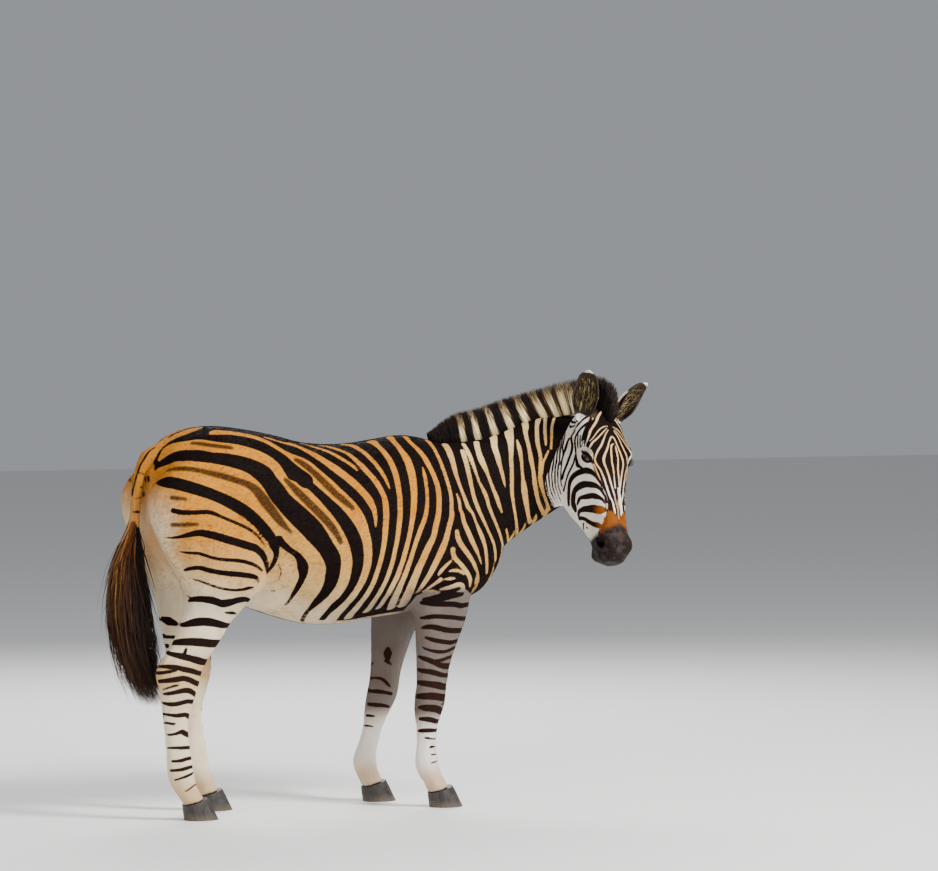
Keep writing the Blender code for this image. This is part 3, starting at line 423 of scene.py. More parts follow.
# Where the cheek ends against the neck on the near side: angle and place on the neck's chart.
CHEEK_EDGE = [
    (0, 0.64), (40, 0.62), (50, 0.592), (57, 0.572), (68, 0.55), (76, 0.53), (83, 0.515), (92, 0.504),
    (103, 0.49), (112, 0.476), (126, 0.463), (140, 0.453), (160, 0.455), (180, 0.46),
]


def cheek_lines():
    """The fine lines that run from the ear down the back of the cheek, closer together at both ends."""
    rows = np.array(CHEEK_EDGE, float)
    strokes = []
    for k in range(6):
        stroke = []
        for g in range(46, 168, 7):
            full = sin(radians((g - 30) * 1.30))
            place = np.interp(g, rows[:, 0], rows[:, 1]) + 0.005 + 0.0138 * k * (0.45 + 0.55 * full)
            stroke.append((float(place), g, 0.9 + 1.35 * full + 0.25 * sin(g * 0.21 + 2 * k)))
        strokes.append(stroke[k // 2:])
    return strokes


# The far side's lines along the back of the jaw, in the head's chart.
JAW_LINE = [
    (0.02, 88), (0.06, 104), (0.10, 118), (0.134, 127), (0.175, 138), (0.225, 150), (0.26, 156),
]
DARK_FAR_JAW = [[(a, f - 1 - 9 * k, 1.3 + 1.0 * (0.04 < a < 0.2)) for a, f in JAW_LINE[k:]] for k in range(2)]
# Marks on the inner faces of the forelegs and of the hind legs.
DARK_INNER_FORE = [
    [(0.53, 238, 7), (0.515, 240, 12), (0.50, 243, 8)],
    [(0.49, 232, 3), (0.487, 245, 5), (0.478, 262, 3)],
    [(0.43, 190, 3), (0.432, 215, 4), (0.425, 240, 5), (0.41, 262, 5), (0.40, 278, 3)],
    [(0.385, 190, 5), (0.385, 225, 6), (0.38, 262, 5), (0.375, 290, 5)],
    [(0.34, 190, 5), (0.338, 230, 6), (0.335, 270, 5), (0.33, 300, 4)],
    [(0.30, 190, 4), (0.30, 215, 4), (0.298, 235, 2)],
    [(0.265, 190, 3), (0.265, 215, 3), (0.262, 240, 2)],
]
DARK_INNER_HIND = [
    [(0.66, 190, 8), (0.655, 205, 12), (0.645, 222, 6)],
    [(0.60, 185, 5), (0.60, 215, 5), (0.595, 250, 3)],
    [(0.545, 185, 4), (0.55, 215, 5), (0.545, 250, 3)],
    [(0.50, 185, 3), (0.505, 220, 4), (0.50, 250, 3)],
    [(0.455, 185, 3), (0.455, 215, 4), (0.45, 240, 3)],
    [(0.40, 185, 3), (0.40, 215, 4), (0.395, 240, 3)],
    [(0.35, 185, 3), (0.35, 215, 3), (0.345, 240, 2)],
]
# Pale bands of the mane: place along the neck and half width, in metres.
MANE_BANDS = [
    (0.25, 0.0105), (0.312, 0.0125), (0.395, 0.0135), (0.473, 0.013), (0.536, 0.011), (0.569, 0.0042),
    (0.586, 0.0036), (0.596, 0.0022), (0.6036, 0.0016),
]


def head_axes():
    """The head's own axes: along the nose, out of the forehead, and to the zebra's left."""
    facing = Vector((cos(HEAD_YAW), sin(HEAD_YAW), 0))
    down = Vector((0, 0, -1))
    turn = Matrix.Rotation(HEAD_ROLL, 3, facing)
    nose = turn @ (facing * cos(HEAD_PITCH) + down * sin(HEAD_PITCH))
    brow = turn @ (facing * sin(HEAD_PITCH) - down * cos(HEAD_PITCH))
    return nose, brow, brow.cross(nose)


def head_point(along, rise, left):
    """A place in the head's own measure, in the row's frame."""
    nose, brow, side = head_axes()
    return POLL + (nose * along + brow * rise + side * left) * HEAD_SCALE


def table_value(table, at):
    """The table's row at a place between its rows; the first column is the key."""
    rows = np.array(sorted(table), float)
    return [float(np.interp(at, rows[:, 0], rows[:, k])) for k in range(1, rows.shape[1])]


def axis_frame(region, t):
    """Centre of the region at t, its zero direction, and its direction to the outside at 90 degrees."""
    if region == "trunk":
        (height,) = table_value(TRUNK_AXIS, t)
        return MIDDLE + Vector((t, 0, height)), Vector((0, 0, 1)), Vector((0, -1, 0))
    if region == "neck":
        here = Vector(table_value(NECK_AXIS, t))
        ahead = Vector(table_value(NECK_AXIS, min(t + 0.04, 0.67)))
        behind = Vector(table_value(NECK_AXIS, max(t - 0.04, 0.0)))
        along = (ahead - behind).normalized()
        left = Vector((0, 0, 1)).cross(along).normalized()
        return MIDDLE + here, along.cross(left), -left
    if region == "head":
        _, brow, side = head_axes()
        return head_point(t, -0.045, 0), brow, -side
    if region == "tail":
        (x,) = table_value(TAIL_AXIS, t)
        return MIDDLE + Vector((x, 0, t)), Vector((-1, 0, 0)), Vector((0, -1, 0))
    x, out = table_value(LEG_AXES[region], t)
    left = 1 if region.endswith("left") else -1
    return MIDDLE + Vector((x, left * out, t)), Vector((1, 0, 0)), Vector((0, left, 0))


def surface_point(tree, region, t, angle, mirror=1):
    """The place on the skin that the region's chart names t and angle, in degrees."""
    centre, zero, side = axis_frame(region, t)
    a = radians(angle)
    ray = zero * cos(a) + side * (mirror * sin(a))
    hit, normal, _, _ = tree.ray_cast(centre, ray)
    if hit is None:
        return centre + ray * 0.05, ray
    return hit, normal


def joined_flesh(names, grow):
    """The named nodes as one mesh soup, each swollen a little so that they melt together."""
    bm = bmesh.new()
    for name in names:
        part = bmesh.new()
        part.from_mesh(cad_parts[name].data)
        bmesh.ops.remove_doubles(part, verts=part.verts, dist=1e-5)
        bmesh.ops.recalc_face_normals(part, faces=part.faces)
        part.normal_update()
        for vert in part.verts:
            vert.co += vert.normal * grow
        mesh = bpy.data.meshes.new(name + "_part")
        part.to_mesh(mesh)
        part.free()
        bm.from_mesh(mesh)
        bpy.data.meshes.remove(mesh)
    mesh = bpy.data.meshes.new("flesh")
    bm.to_mesh(mesh)
    bm.free()
    return mesh


def remeshed(mesh, voxel):
    """A new even mesh over the soup."""
    obj = bpy.data.objects.new("flesh", mesh)
    bpy.context.scene.collection.objects.link(obj)
    modifier = obj.modifiers.new("melt", "REMESH")
    modifier.mode = "VOXEL"
    modifier.voxel_size = voxel
    graph = bpy.context.evaluated_depsgraph_get()
    result = bpy.data.meshes.new_from_object(obj.evaluated_get(graph), depsgraph=graph)
    bpy.data.objects.remove(obj)
    bpy.data.meshes.remove(mesh)
    return result


def biggest_piece(bm):
    """Keeps only the largest connected piece."""
    seen, best = set(), []
    for start in bm.verts:
        if start in seen:
            continue
        group, stack = [], [start]
        seen.add(start)
        while stack:
            vert = stack.pop()
            group.append(vert)
            for edge in vert.link_edges:
                other = edge.other_vert(vert)
                if other not in seen:
                    seen.add(other)
                    stack.append(other)
        if len(group) > len(best):
            best = group
    keep = set(best)
    bmesh.ops.delete(bm, geom=[v for v in bm.verts if v not in keep], context="VERTS")


def half(mesh, point, normal, ahead):
    """The share of the mesh ahead of or behind a plane, left open at the plane."""
    bm = bmesh.new()
    bm.from_mesh(mesh)
    bmesh.ops.bisect_plane(
        bm,
        geom=bm.verts[:] + bm.edges[:] + bm.faces[:],
        plane_co=point,
        plane_no=normal,
        clear_outer=not ahead,
        clear_inner=ahead,
    )
    biggest_piece(bm)
    bm.to_mesh(mesh)
    bm.free()
    return mesh


def relaxed(points, edges, strength, rounds, back=0.0):
    """Evens out a surface; with back set it keeps its volume."""
    a, b = edges.T
    total = len(points)
    count = np.bincount(a, minlength=total) + np.bincount(b, minlength=total)
    for _ in range(rounds):
        for factor in (0.5, -back) if back else (0.5,):
            sums = [
                np.bincount(a, points[b, k], total) + np.bincount(b, points[a, k], total) for k in range(3)
            ]
            mean = np.stack(sums, 1) / count[:, None]
            points = points + (mean - points) * (factor * strength)[:, None]
    return points


def mesh_points(mesh):
    flat = np.empty(len(mesh.vertices) * 3)
    mesh.vertices.foreach_get("co", flat)
    return flat.reshape(-1, 3)


def mesh_edges(mesh):
    flat = np.empty(len(mesh.edges) * 2, np.int64)
    mesh.edges.foreach_get("vertices", flat)
    return flat.reshape(-1, 2)


def mesh_normals(mesh):
    flat = np.empty(len(mesh.vertices) * 3)
    mesh.vertices.foreach_get("normal", flat)
    return flat.reshape(-1, 3)


def put_points(mesh, points):
    mesh.vertices.foreach_set("co", points.reshape(-1))
    mesh.update()


def smooth_step(value, low, high):
    """0 below low, 1 above high, and an even slope between."""
    t = np.clip((value - low) / (high - low), 0, 1)
    return t * t * (3 - 2 * t)


def ear_frame(name):
    """Base, length way, the way the hollow faces, and the side way of an ear."""
    place, tip, opening = EARS[name]
    along = Vector(tip).normalized()
    out = (Vector(opening) - along * along.dot(Vector(opening))).normalized()
    return head_point(*place), along, out, along.cross(out)


def ear_place(name, points, normals):
    """Share of the ear's length, share of its half width, and how far the surface faces into the hollow."""
    base, along, out, side = (np.array(v[:]) for v in ear_frame(name))
    away = points - base
    near = np.linalg.norm(away - 0.5 * EAR_LENGTH * along, axis=1) < 0.125
    return np.where(near, away @ along / EAR_LENGTH, -1), away @ side / EAR_HALF_WIDTH, normals @ out


def tree_of(mesh):
    mesh.calc_loop_triangles()
    triangles = [tuple(t.vertices) for t in mesh.loop_triangles]
    return BVHTree.FromPolygons([v.co for v in mesh.vertices], triangles)


def head_coordinates(points):
    """Along, rise and left of each point in the head's own unscaled measure."""
    axes = np.array([axis[:] for axis in head_axes()])
    return ((points - np.array(POLL)) @ axes.T) / HEAD_SCALE


def ear_share(points):
    """1 on the ears and 0 elsewhere."""
    share = np.zeros(len(points))
    for name in ("ear_left", "ear_right"):
        low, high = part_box(name)
        inside = np.all((points > np.array(low) - 0.004) & (points < np.array(high) + 0.004), axis=1)
        share[inside] = 1
    along = head_coordinates(points)[:, 0]
    return share * smooth_step(-along, -0.035, 0.0)


def build_skin_mesh(settings):
    """One closed skin over all the flesh: coarse on the body, fine on the head."""
    at = 0.385
    centre, _, _ = axis_frame("neck", at)
    ahead, _, _ = axis_frame("neck", at + 0.03)
    normal = (ahead - centre).normalized()
    body = remeshed(joined_flesh(FLESH, 0.0006), settings.body_voxel)
    half(body, centre, normal, False)
    head = remeshed(joined_flesh(HEAD_FLESH, 0.0006), settings.head_voxel)
    half(head, centre + normal * 0.006, normal, True)
    bm = bmesh.new()
    bm.from_mesh(body)
    bm.from_mesh(head)
    bmesh.ops.bridge_loops(bm, edges=[edge for edge in bm.edges if edge.is_boundary])
    bmesh.ops.recalc_face_normals(bm, faces=bm.faces)
    mesh = bpy.data.meshes.new("hide")
    bm.to_mesh(mesh)
    bm.free()
    points, edges = mesh_points(mesh), mesh_edges(mesh)
    low_leg = smooth_step(-points[:, 2], -0.75, -0.55)
    on_ear = ear_share(points)
    ahead_of_cut = (points - np.array(centre)) @ np.array(normal)
    strength = 1 - 0.72 * low_leg
    strength *= 1 - 0.80 * on_ear
    points = relaxed(points, edges, strength * (ahead_of_cut < 0.01), 18)
    points = relaxed(points, edges, strength * (ahead_of_cut > -0.03), 16)
    points = relaxed(points, edges, strength, 10, 0.52)
    put_points(mesh, points)
    return mesh


def body_place(points):
    return points - np.array(MIDDLE)


def trunk_chart(points):
    """Place along the trunk, angle from the back in degrees, and 1 on the right side or -1 on the left."""
    p = body_place(points)
    rows = np.array(TRUNK_AXIS)
    height = np.interp(p[:, 0], rows[:, 0], rows[:, 1])
    return p[:, 0], np.degrees(np.arctan2(np.abs(p[:, 1]), p[:, 2] - height)), np.where(p[:, 1] < 0, 1, -1)


def neck_chart(points):
    """Place along the neck, angle from the crest in degrees, side, and distance from the neck's axis."""
    steps = np.linspace(0.0, 0.67, 68)
    frames = [axis_frame("neck", float(t)) for t in steps]
    centres, ups, sides = (np.array([f[k][:] for f in frames]) for k in range(3))
    tree = KDTree(len(steps))
    for i, centre in enumerate(centres):
        tree.insert(centre, i)
    tree.balance()
    near = np.array([tree.find(p)[1] for p in points])
    away = points - centres[near]
    up = (away * ups[near]).sum(1)
    out = (away * sides[near]).sum(1)
    forward = np.cross(ups[near], sides[near])
    t = steps[near] + (away * forward).sum(1)
    return t, np.degrees(np.arctan2(np.abs(out), up)), np.where(out > 0, 1, -1), np.linalg.norm(away, axis=1)


def head_chart(points):
    p = head_coordinates(points)
    return p[:, 0], np.degrees(np.arctan2(-p[:, 2], p[:, 1] + 0.045))


def node_distance(points, name):
    """How far each point lies from a node's surface."""
    tree = tree_of(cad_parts[name].data)
    return np.array([tree.find_nearest(p)[3] or 1.0 for p in points])


def head_mask(points):
    """1 on the head and ears, 0 on the neck, with a soft edge."""
    mask = np.zeros(len(points))
    low, high = (np.array(corner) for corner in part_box("head"))
    near = np.nonzero(np.all((points > low - 0.02) & (points < high + 0.02), axis=1))[0]
    closer = node_distance(points[near], "neck") - node_distance(points[near], "head")
    mask[near] = smooth_step(closer, -0.0025, 0.0025)
    t, g, side, _ = neck_chart(points[near])
    edge = np.array(CHEEK_EDGE, float)
    on_cheek = smooth_step(t - np.interp(g, edge[:, 0], edge[:, 1]), -0.002, 0.002)
    mask[near] *= np.where(side > 0, on_cheek, 1.0)
    return np.maximum(mask, ear_share(points))


def round_the_rump(tree, places, half, steps):
    """Carries a mark on over the back of the buttock, tapering as it goes, and stops short of the tail."""
    before, widths = [], []
    here, way = places[0], (places[0] - places[3]).normalized()
    for k in range(1, steps):
        after = tree.find_nearest(here + way * 0.0042)[0]
        if abs(after.y - MIDDLE.y) < 0.052:
            break
        way = (after - here).normalized()
        here = after
        before.insert(0, here)
        widths.insert(0, half[0] * (1 - 0.08 * min(k, 9)))
    return before + places, np.concatenate([widths, half])


def stroke_samples(tree, region, strokes, mirror, shift, wobble, scale=1.0, gap=0.003, swell=0.0):
    """Even samples along each stroke on the hide: place and half width."""
    out = []
    for number, stroke in enumerate(strokes):
        rows = np.array(stroke, float)
        steps = np.arange(len(rows))
        fine = np.linspace(0, len(rows) - 1, 6 * (len(rows) - 1) + 1)
        t, g, half = (np.interp(fine, steps, rows[:, k]) for k in range(3))
        if len(rows) > 2:
            t, g = (np.convolve(np.pad(v, 3, "reflect", reflect_type="odd"), np.ones(7) / 7, "valid")
                    for v in (t, g))
        if wobble:
            phase = number * 1.7
            t = t + wobble * np.sin(g * 0.045 + phase) + wobble * 0.6 * np.sin(g * 0.11 + phase * 2.3)
            half = half * (1 + 0.18 * np.sin(g * 0.06 + phase * 1.3))
        half = half * scale + swell
        places = [surface_point(tree, region, float(a), float(shift(b)), mirror)[0] for a, b in zip(t, g)]
        if region == "trunk" and rows[0, 0] < -0.584 and rows[0, 1] > 60:
            places, half = round_the_rump(tree, places, half, 8 if mirror > 0 else 15)
        for here, after, w0, w1 in zip(places, places[1:], half, half[1:]):
            length = (after - here).length
            if length > 0.12:
                continue
            count = max(1, int(length / gap))
            for k in range(count):
                f = k / count
                out.append((here.lerp(after, f), (w0 + (w1 - w0) * f) / 1000))
        out.append((places[-1], half[-1] / 1000))
    return out


def stroke_distance(points, samples, mask):
    """Signed distance to the strokes' edge in metres, negative inside; 1 where the mask is off."""
    result = np.ones(len(points))
    tree = KDTree(len(samples))
    for i, (place, _) in enumerate(samples):
        tree.insert(place, i)
    tree.balance()
    widths = [half for _, half in samples]
    for index in np.nonzero(mask)[0]:
        result[index] = min(d - widths[i] for _, i, d in tree.find_n(points[index], 6))
    return result


def same(angle):
    return angle


def not_in_front(angle):
    """Ends a band just past the front of the leg, short of its inner face."""
    return max(angle, -12)


def other_cheek(angle):
    return angle - 6


def leg_masks(points):
    """How far each point stands inside the loose sleeve of each leg: positive inside, in metres."""
    p = body_place(points)
    masks = {}
    for name, axis in LEG_AXES.items():
        rows = np.array(sorted(axis), float)
        x, out = (np.interp(p[:, 2], rows[:, 0], rows[:, k]) for k in (1, 2))
        side = 1 if name.endswith("left") else -1
        top = 0.745 if name.startswith("fore") else 0.76
        reach = 0.135 if name.startswith("fore") else 0.26
        across = np.hypot(p[:, 0] - x, p[:, 1] - side * out)
        inside = np.minimum(top - p[:, 2], reach - across)
        masks[name] = np.where(p[:, 1] * side > -0.02, inside, -1)
    return masks


# Where the dock parts from the rump: height and x.
DOCK_EDGE = [(0.96, -0.606), (1.06, -0.603), (1.13, -0.600), (1.19, -0.590), (1.24, -0.565), (1.27, -0.52)]


def tail_share(points):
    """1 on the dock of the tail and 0 on the rump."""
    low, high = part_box("tail")
    p = body_place(points)
    heights, edges = zip(*DOCK_EDGE)
    behind = np.interp(p[:, 2], heights, edges)
    inside = (np.abs(p[:, 1]) < 0.034) & (points[:, 2] > low.z - 0.02) & (points[:, 2] < high.z + 0.01)
    return inside * smooth_step(behind - p[:, 0], -0.01, 0.01)


def throat_lines(start):
    """Light lines that meet under the throat and down the front of the chest."""
    return [
        [(t + 0.006, start, 2), (t - 0.002, start + 8, 8), (t - 0.012, 170, 10), (t - 0.014, 180, 10)]
        for t in (-0.02, 0.045, 0.11, 0.17, 0.225, 0.28, 0.33, 0.38, 0.43)
    ]


LIGHT_BEHIND_CHEEK = [
    [(t - 0.016, g, 1.5 + 2.2 * (50 < g < 110)) for g, t in CHEEK_EDGE[4:10]],
]
LIGHT_FAR_NECK = [
    [(t, 14, 4), (t + 0.004, 45, 8), (t, 70, 8), (t - 0.010, 95, 8), (t - 0.030, 120, 7), (t - 0.055, 142, 3)]
    for t in (0.475, 0.52, 0.565, 0.61, 0.655)
]


def far_neck_lines(points, head):
    """Light lines on the far side of the neck that run with the back of the jaw."""
    along, face = head_chart(points)
    jaw = np.array(JAW_LINE)
    behind = -face - np.interp(along, jaw[:, 0], jaw[:, 1])
    wide = 0.0048 * (1 - ((along - 0.105) / 0.10) ** 2)
    lines = np.ones(len(points))
    for place in (12, 29):
        away = np.abs(behind - place - 3 * np.sin(along * 45 + place)) * 0.0021
        lines = np.minimum(lines, away - wide)
    return np.where((head < 0.5) & (np.abs(along - 0.105) < 0.10) & (points[:, 2] > 1.0), lines, 1)


def dark_ground(t, g):
    """The dark fore part of the body, negative inside, from the third dark stripe of the trunk forward."""
    band = np.array([(row[1], row[0]) for row in DARK_TRUNK[2]], float)
    ground = np.clip(np.interp(g, band[:, 0], band[:, 1]) - t, -0.2, 0.2)
    return np.where(t < 0.40, np.maximum(ground, (g - 158) * 0.003), ground)


def body_strokes(points, tree, body, g, side):
    """Distances to the light, dark and shadow strokes of the trunk and neck, one side after the other."""
    light, dark, shadow = (np.ones(len(points)) for _ in range(3))
    for mirror in (1, -1):
        wobble = 0.0 if mirror > 0 else 0.004
        mask = body & ((side == mirror) | (g < 12) | (g > 168))
        strokes = stroke_samples(tree, "trunk", LIGHT_TRUNK, mirror, same, wobble)
        neck = (LIGHT_NECK, throat_lines(154), LIGHT_BEHIND_CHEEK)
        if mirror < 0:
            neck = (LIGHT_NECK, throat_lines(130), LIGHT_FAR_NECK)
        for table in neck:
            strokes += stroke_samples(tree, "neck", table, mirror, same, wobble)
        light = np.minimum(light, stroke_distance(points, strokes, mask))
        strokes = stroke_samples(tree, "trunk", DARK_TRUNK, mirror, same, wobble)
        dark = np.minimum(dark, stroke_distance(points, strokes, mask))
        strokes = stroke_samples(tree, "trunk", SHADOW_TRUNK, mirror, same, wobble, 2.0)
        shadow = np.minimum(shadow, stroke_distance(points, strokes, mask & (side == mirror)))
    middle = stroke_samples(tree, "trunk", MIDLINE, 1, same, 0)
    return light, np.minimum(dark, stroke_distance(points, middle, body)), shadow


def leg_bands(points, tree, name, mask):
    """Distance to the dark bands round one leg and the marks on its inner face."""
    fore, right = name.startswith("fore"), name.endswith("right")
    bands, inner = (DARK_FORELEG, DARK_INNER_FORE) if fore else (DARK_HINDLEG, DARK_INNER_HIND)
    around, wobble = (same, 0.0) if right else (not_in_front, 0.003)
    samples = stroke_samples(tree, name, bands, 1, around, wobble, 1.65)
    samples += stroke_samples(tree, name, inner, 1, same, 0.0, 1.3)
    return stroke_distance(points, samples, mask)


def head_marks(points, tree, on_head):
    """Distance to the dark marks of the head: strokes on both cheeks, and a dark face with light lines."""
    along, face = head_chart(points)
    samples = stroke_samples(tree, "head", DARK_HEAD, 1, same, 0, 1.15, 0.002, 1.2)
    samples += stroke_samples(tree, "neck", cheek_lines(), 1, same, 0, 1.5, 0.002)
    right = stroke_distance(points, samples, on_head & (face > -5))
    samples = stroke_samples(tree, "head", DARK_HEAD, -1, other_cheek, 0, 1.15, 0.002, 1.2)
    samples += stroke_samples(tree, "head", DARK_FAR_JAW, -1, same, 0.001, 1.5, 0.002)
    left = stroke_distance(points, samples, on_head & (face < 12))
    samples = stroke_samples(tree, "head", LIGHT_FACE, 1, same, 0, 1.12, 0.002)
    samples += stroke_samples(tree, "head", LIGHT_FACE, -1, other_cheek, 0, 1.12, 0.002)
    samples += stroke_samples(tree, "head", LIGHT_BLAZE, 1, same, 0, 1.0, 0.002)
    lines = stroke_distance(points, samples, on_head & (face > -62) & (face < 68))
    edge = np.array(FACE_EDGE, float)
    front = (np.abs(face - 3) + 3 - np.interp(along, edge[:, 0], edge[:, 1])) * 0.0015
    marks = np.minimum(np.minimum(right, left), np.maximum(front, -lines))
    return np.where(ear_share(points) > 0.5, 0.05, marks)


def stripe_field(points, tree):
    """Signed distances to the edge of the dark marks, negative inside, and of the brown shadows."""
    t, g, side = trunk_chart(points)
    head, tail, legs = head_mask(points), tail_share(points), leg_masks(points)
    body = (head < 0.5) & (tail < 0.5)
    ground = dark_ground(t, g)
    light, dark, shadow = body_strokes(points, tree, body, g, side)
    light = np.minimum(light, far_neck_lines(points, head))
    for name, inside in legs.items():
        if name.startswith("fore"):
            ground = np.maximum(ground, inside + 0.010 * np.sin(t * 55))
            light = np.where(inside > 0, 1, light)
    field = np.minimum(np.maximum(ground, -light), dark)
    for name, inside in legs.items():
        field = np.minimum(field, leg_bands(points, tree, name, (inside > 0) & body))
    samples = stroke_samples(tree, "tail", DARK_TAIL, 1, same, 0)
    samples += stroke_samples(tree, "tail", DARK_TAIL, -1, same, 0)
    field = np.where(tail > 0.5, stroke_distance(points, samples, tail > 0.5), field)
    field = np.where(head >= 0.5, head_marks(points, tree, head >= 0.5), field)
    return np.clip(field, -0.05, 0.05), np.clip(shadow, -0.05, 0.05)


WHITE = np.array((0.86, 0.83, 0.76))
IVORY = np.array((0.84, 0.74, 0.54))
CREAM = np.array((0.68, 0.46, 0.19))
TAN = np.array((0.58, 0.30, 0.065))
OCHRE = np.array((0.58, 0.235, 0.022))
GOLD = np.array((0.60, 0.35, 0.105))
# Painted shade: the grey-brown of the barrel's underside behind the forelegs.
UNDERSIDE_SHADE = np.array((0.36, 0.27, 0.215))
# Painted shade: the grey of the upper forelegs and of the low haunch.
SHADE_GREY = np.array((0.155, 0.130, 0.118))
RUST = np.array((0.26, 0.074, 0.009))
BLACK = np.array((0.0062, 0.0031, 0.0024))
UMBER = np.array((0.040, 0.016, 0.009))
MUZZLE = np.array((0.0120, 0.0084, 0.0072))
LID_SKIN = np.array((0.0055, 0.0038, 0.0035))
# Painted shade: the near black laid in the nostrils and along the mouth line.
HOLE_SHADE = np.array((0.002, 0.0015, 0.0015))
EAR_INSIDE = np.array((0.050, 0.036, 0.025))
EAR_HAIR_BROWN = np.array((0.028, 0.019, 0.012))
EAR_HAIR_GOLD = np.array((0.62, 0.47, 0.20))
MANE_PALE = np.array((0.94, 0.80, 0.45))
TAIL_GOLD = np.array((0.50, 0.24, 0.07))


def blend_colours(base, other, share):
    return base + (other - base) * share[:, None]


def painted(colours, *layers):
    """The colours with each layer laid over them in turn; a layer is a colour and its share."""
    for colour, share in layers:
        colours = blend_colours(colours, colour, share)
    return colours


def body_light(points):
    """The light hair of the trunk, neck, legs and tail, with painted shade under the barrel, low on the
    haunch and on the upper forelegs.
    """
    p = body_place(points)
    x, z = p[:, 0], p[:, 2]
    _, g, _ = trunk_chart(points)
    _, around, _, _ = neck_chart(points)
    neck = smooth_step(x, 0.46, 0.60)
    haunch = smooth_step(-x, 0.18, 0.30)
    rear = smooth_step(-x, 0.545, 0.625) * 0.85
    light = painted(
        np.tile(OCHRE, (len(points), 1)),
        (TAN, smooth_step(g, 60, 100)),
        (CREAM, smooth_step(g, 100, 128)),
        (IVORY, smooth_step(g, 128, 150) * 0.8),
        (CREAM, smooth_step(x, 0.38, 0.62) * 0.75),
        (GOLD, neck * 0.9),
        (GOLD * np.array((1.3, 1.65, 2.6)), neck * smooth_step(50 - around, 0, 30) * 0.9),
        # Painted shade: the underside of the barrel behind the forelegs turns grey-brown.
        (UNDERSIDE_SHADE, smooth_step(g, 112, 142) * smooth_step(x, -0.10, 0.22) * (x < 0.5) * 0.75),
        (OCHRE * 1.02, haunch * smooth_step(z, 0.74, 1.00) * 0.85),
        (IVORY, rear * smooth_step(1.16 - z, 0.0, 0.2)),
        # Painted shade: the low part of the haunch is greyed a little.
        (SHADE_GREY * 2.4, haunch * smooth_step(0.82 - z, 0.0, 0.10) * 0.3),
    )
    for name, inside in leg_masks(points).items():
        if name.startswith("fore"):
            on = smooth_step(inside, -0.03, 0.005)
            # Painted shade: the foreleg is grey above about a third of a metre, white below.
            upper = (SHADE_GREY, on * smooth_step(z, 0.26, 0.34))
            lower = (WHITE * 0.92, on * smooth_step(-z, -0.34, -0.24))
        else:
            on = smooth_step(inside, 0.0, 0.04)
            upper = (IVORY * 1.02, on * smooth_step(-z, -0.74, -0.64))
            lower = (TAN, on * smooth_step(0.05 - np.abs(z - 0.49), -0.03, 0.03) * 0.65)
        light = painted(light, upper, lower, (TAN * 0.9, on * smooth_step(-z, -0.17, -0.09) * 0.55))
    dock = tail_share(points)
    return painted(light, (CREAM * 1.02, dock * 0.2), (OCHRE * 0.95, dock * 0.85))


# Where the rust patch over the nose and the bare muzzle begin: angle from the middle of the face, and
# place along the head.
RUST_EDGE = [
    (0, 0.425), (5, 0.41), (8, 0.40), (13, 0.39), (20, 0.382), (25, 0.383), (28, 0.394), (31, 0.398),
    (34, 0.41), (38, 0.422), (42, 0.43), (50, 0.44), (60, 0.50),
]
MUZZLE_EDGE = [(0, 0.42), (40, 0.445), (100, 0.45), (140, 0.435), (180, 0.43)]


def edge_at(table, face):
    angles, places = zip(*table)
    return np.interp(face, angles, places)


def ear_colours(points, normals, light, dark):
    """Paints the ears: white tips, black-edged backs and a brown inside."""
    for name in EARS:
        place, across, inner = ear_place(name, points, normals)
        on = (place > 0.06) & (place < 1.2) & (np.abs(across) < 1.15)
        on &= (ear_share(points) > 0.5) | (inner > -0.3)
        tone = painted(
            light,
            (BLACK * 2, smooth_step(place, 0.56, 0.64)),
            (EAR_INSIDE, smooth_step(inner, -0.30, -0.05)),
            (BLACK * 1.5, smooth_step(0.42 - np.abs(inner), 0.0, 0.2) * smooth_step(place, 0.05, 0.2)),
            (WHITE, smooth_step(place, 0.925, 0.955)),
        )
        light = np.where(on[:, None], tone, light)
        dark = np.where(on[:, None], tone, dark)
    return light, dark


def hair_colours(points, normals):
    """The light and the dark hair colour of each place on the hide, and the share of bare muzzle."""
    head = head_mask(points)
    along, angle = head_chart(points)
    face = np.abs(angle - 3) + 3
    gold = head * smooth_step(0.31 - along, 0.0, 0.06) * smooth_step(50 - face, 0, 12)
    middle = head * smooth_step(along, 0.29, 0.33) * smooth_step(10 - face, 0, 5)
    snout = smooth_step(along, 0.345, 0.37) * smooth_step(64 - face, 0, 26) * smooth_step(face, 24, 34) * head
    top = edge_at(RUST_EDGE, face) + 0.003 * np.sin(face * 1.3) + 0.002 * np.sin(face * 3.1 + 1)
    rust = head * smooth_step(along - top, -0.003, 0.004)
    grit = 0.8 + 0.35 * np.sin(face * 2.7 + along * 900) * np.sin(face * 1.1 - along * 420)
    light = painted(
        body_light(points),
        (WHITE, head),
        (GOLD * 1.25, gold * 0.8),
        (CREAM * 0.62, middle),
        (RUST, rust),
    )
    light = np.where((rust > 0.5)[:, None], light * grit[:, None], light)
    dark = painted(
        np.tile(BLACK, (len(points), 1)),
        (UMBER, smooth_step(-points[:, 2], -0.75, -0.45) * 0.35),
        (UMBER, head * smooth_step(along, 0.2, 0.3) * 0.25),
        (RUST, snout),
        (RUST * 0.9, rust),
    )
    light, dark = ear_colours(points, normals, light, dark)
    muzzle = head * smooth_step(along - edge_at(MUZZLE_EDGE, face), -0.008, 0.016)
    return painted(light, (MUZZLE, muzzle)), painted(dark, (MUZZLE, muzzle)), muzzle


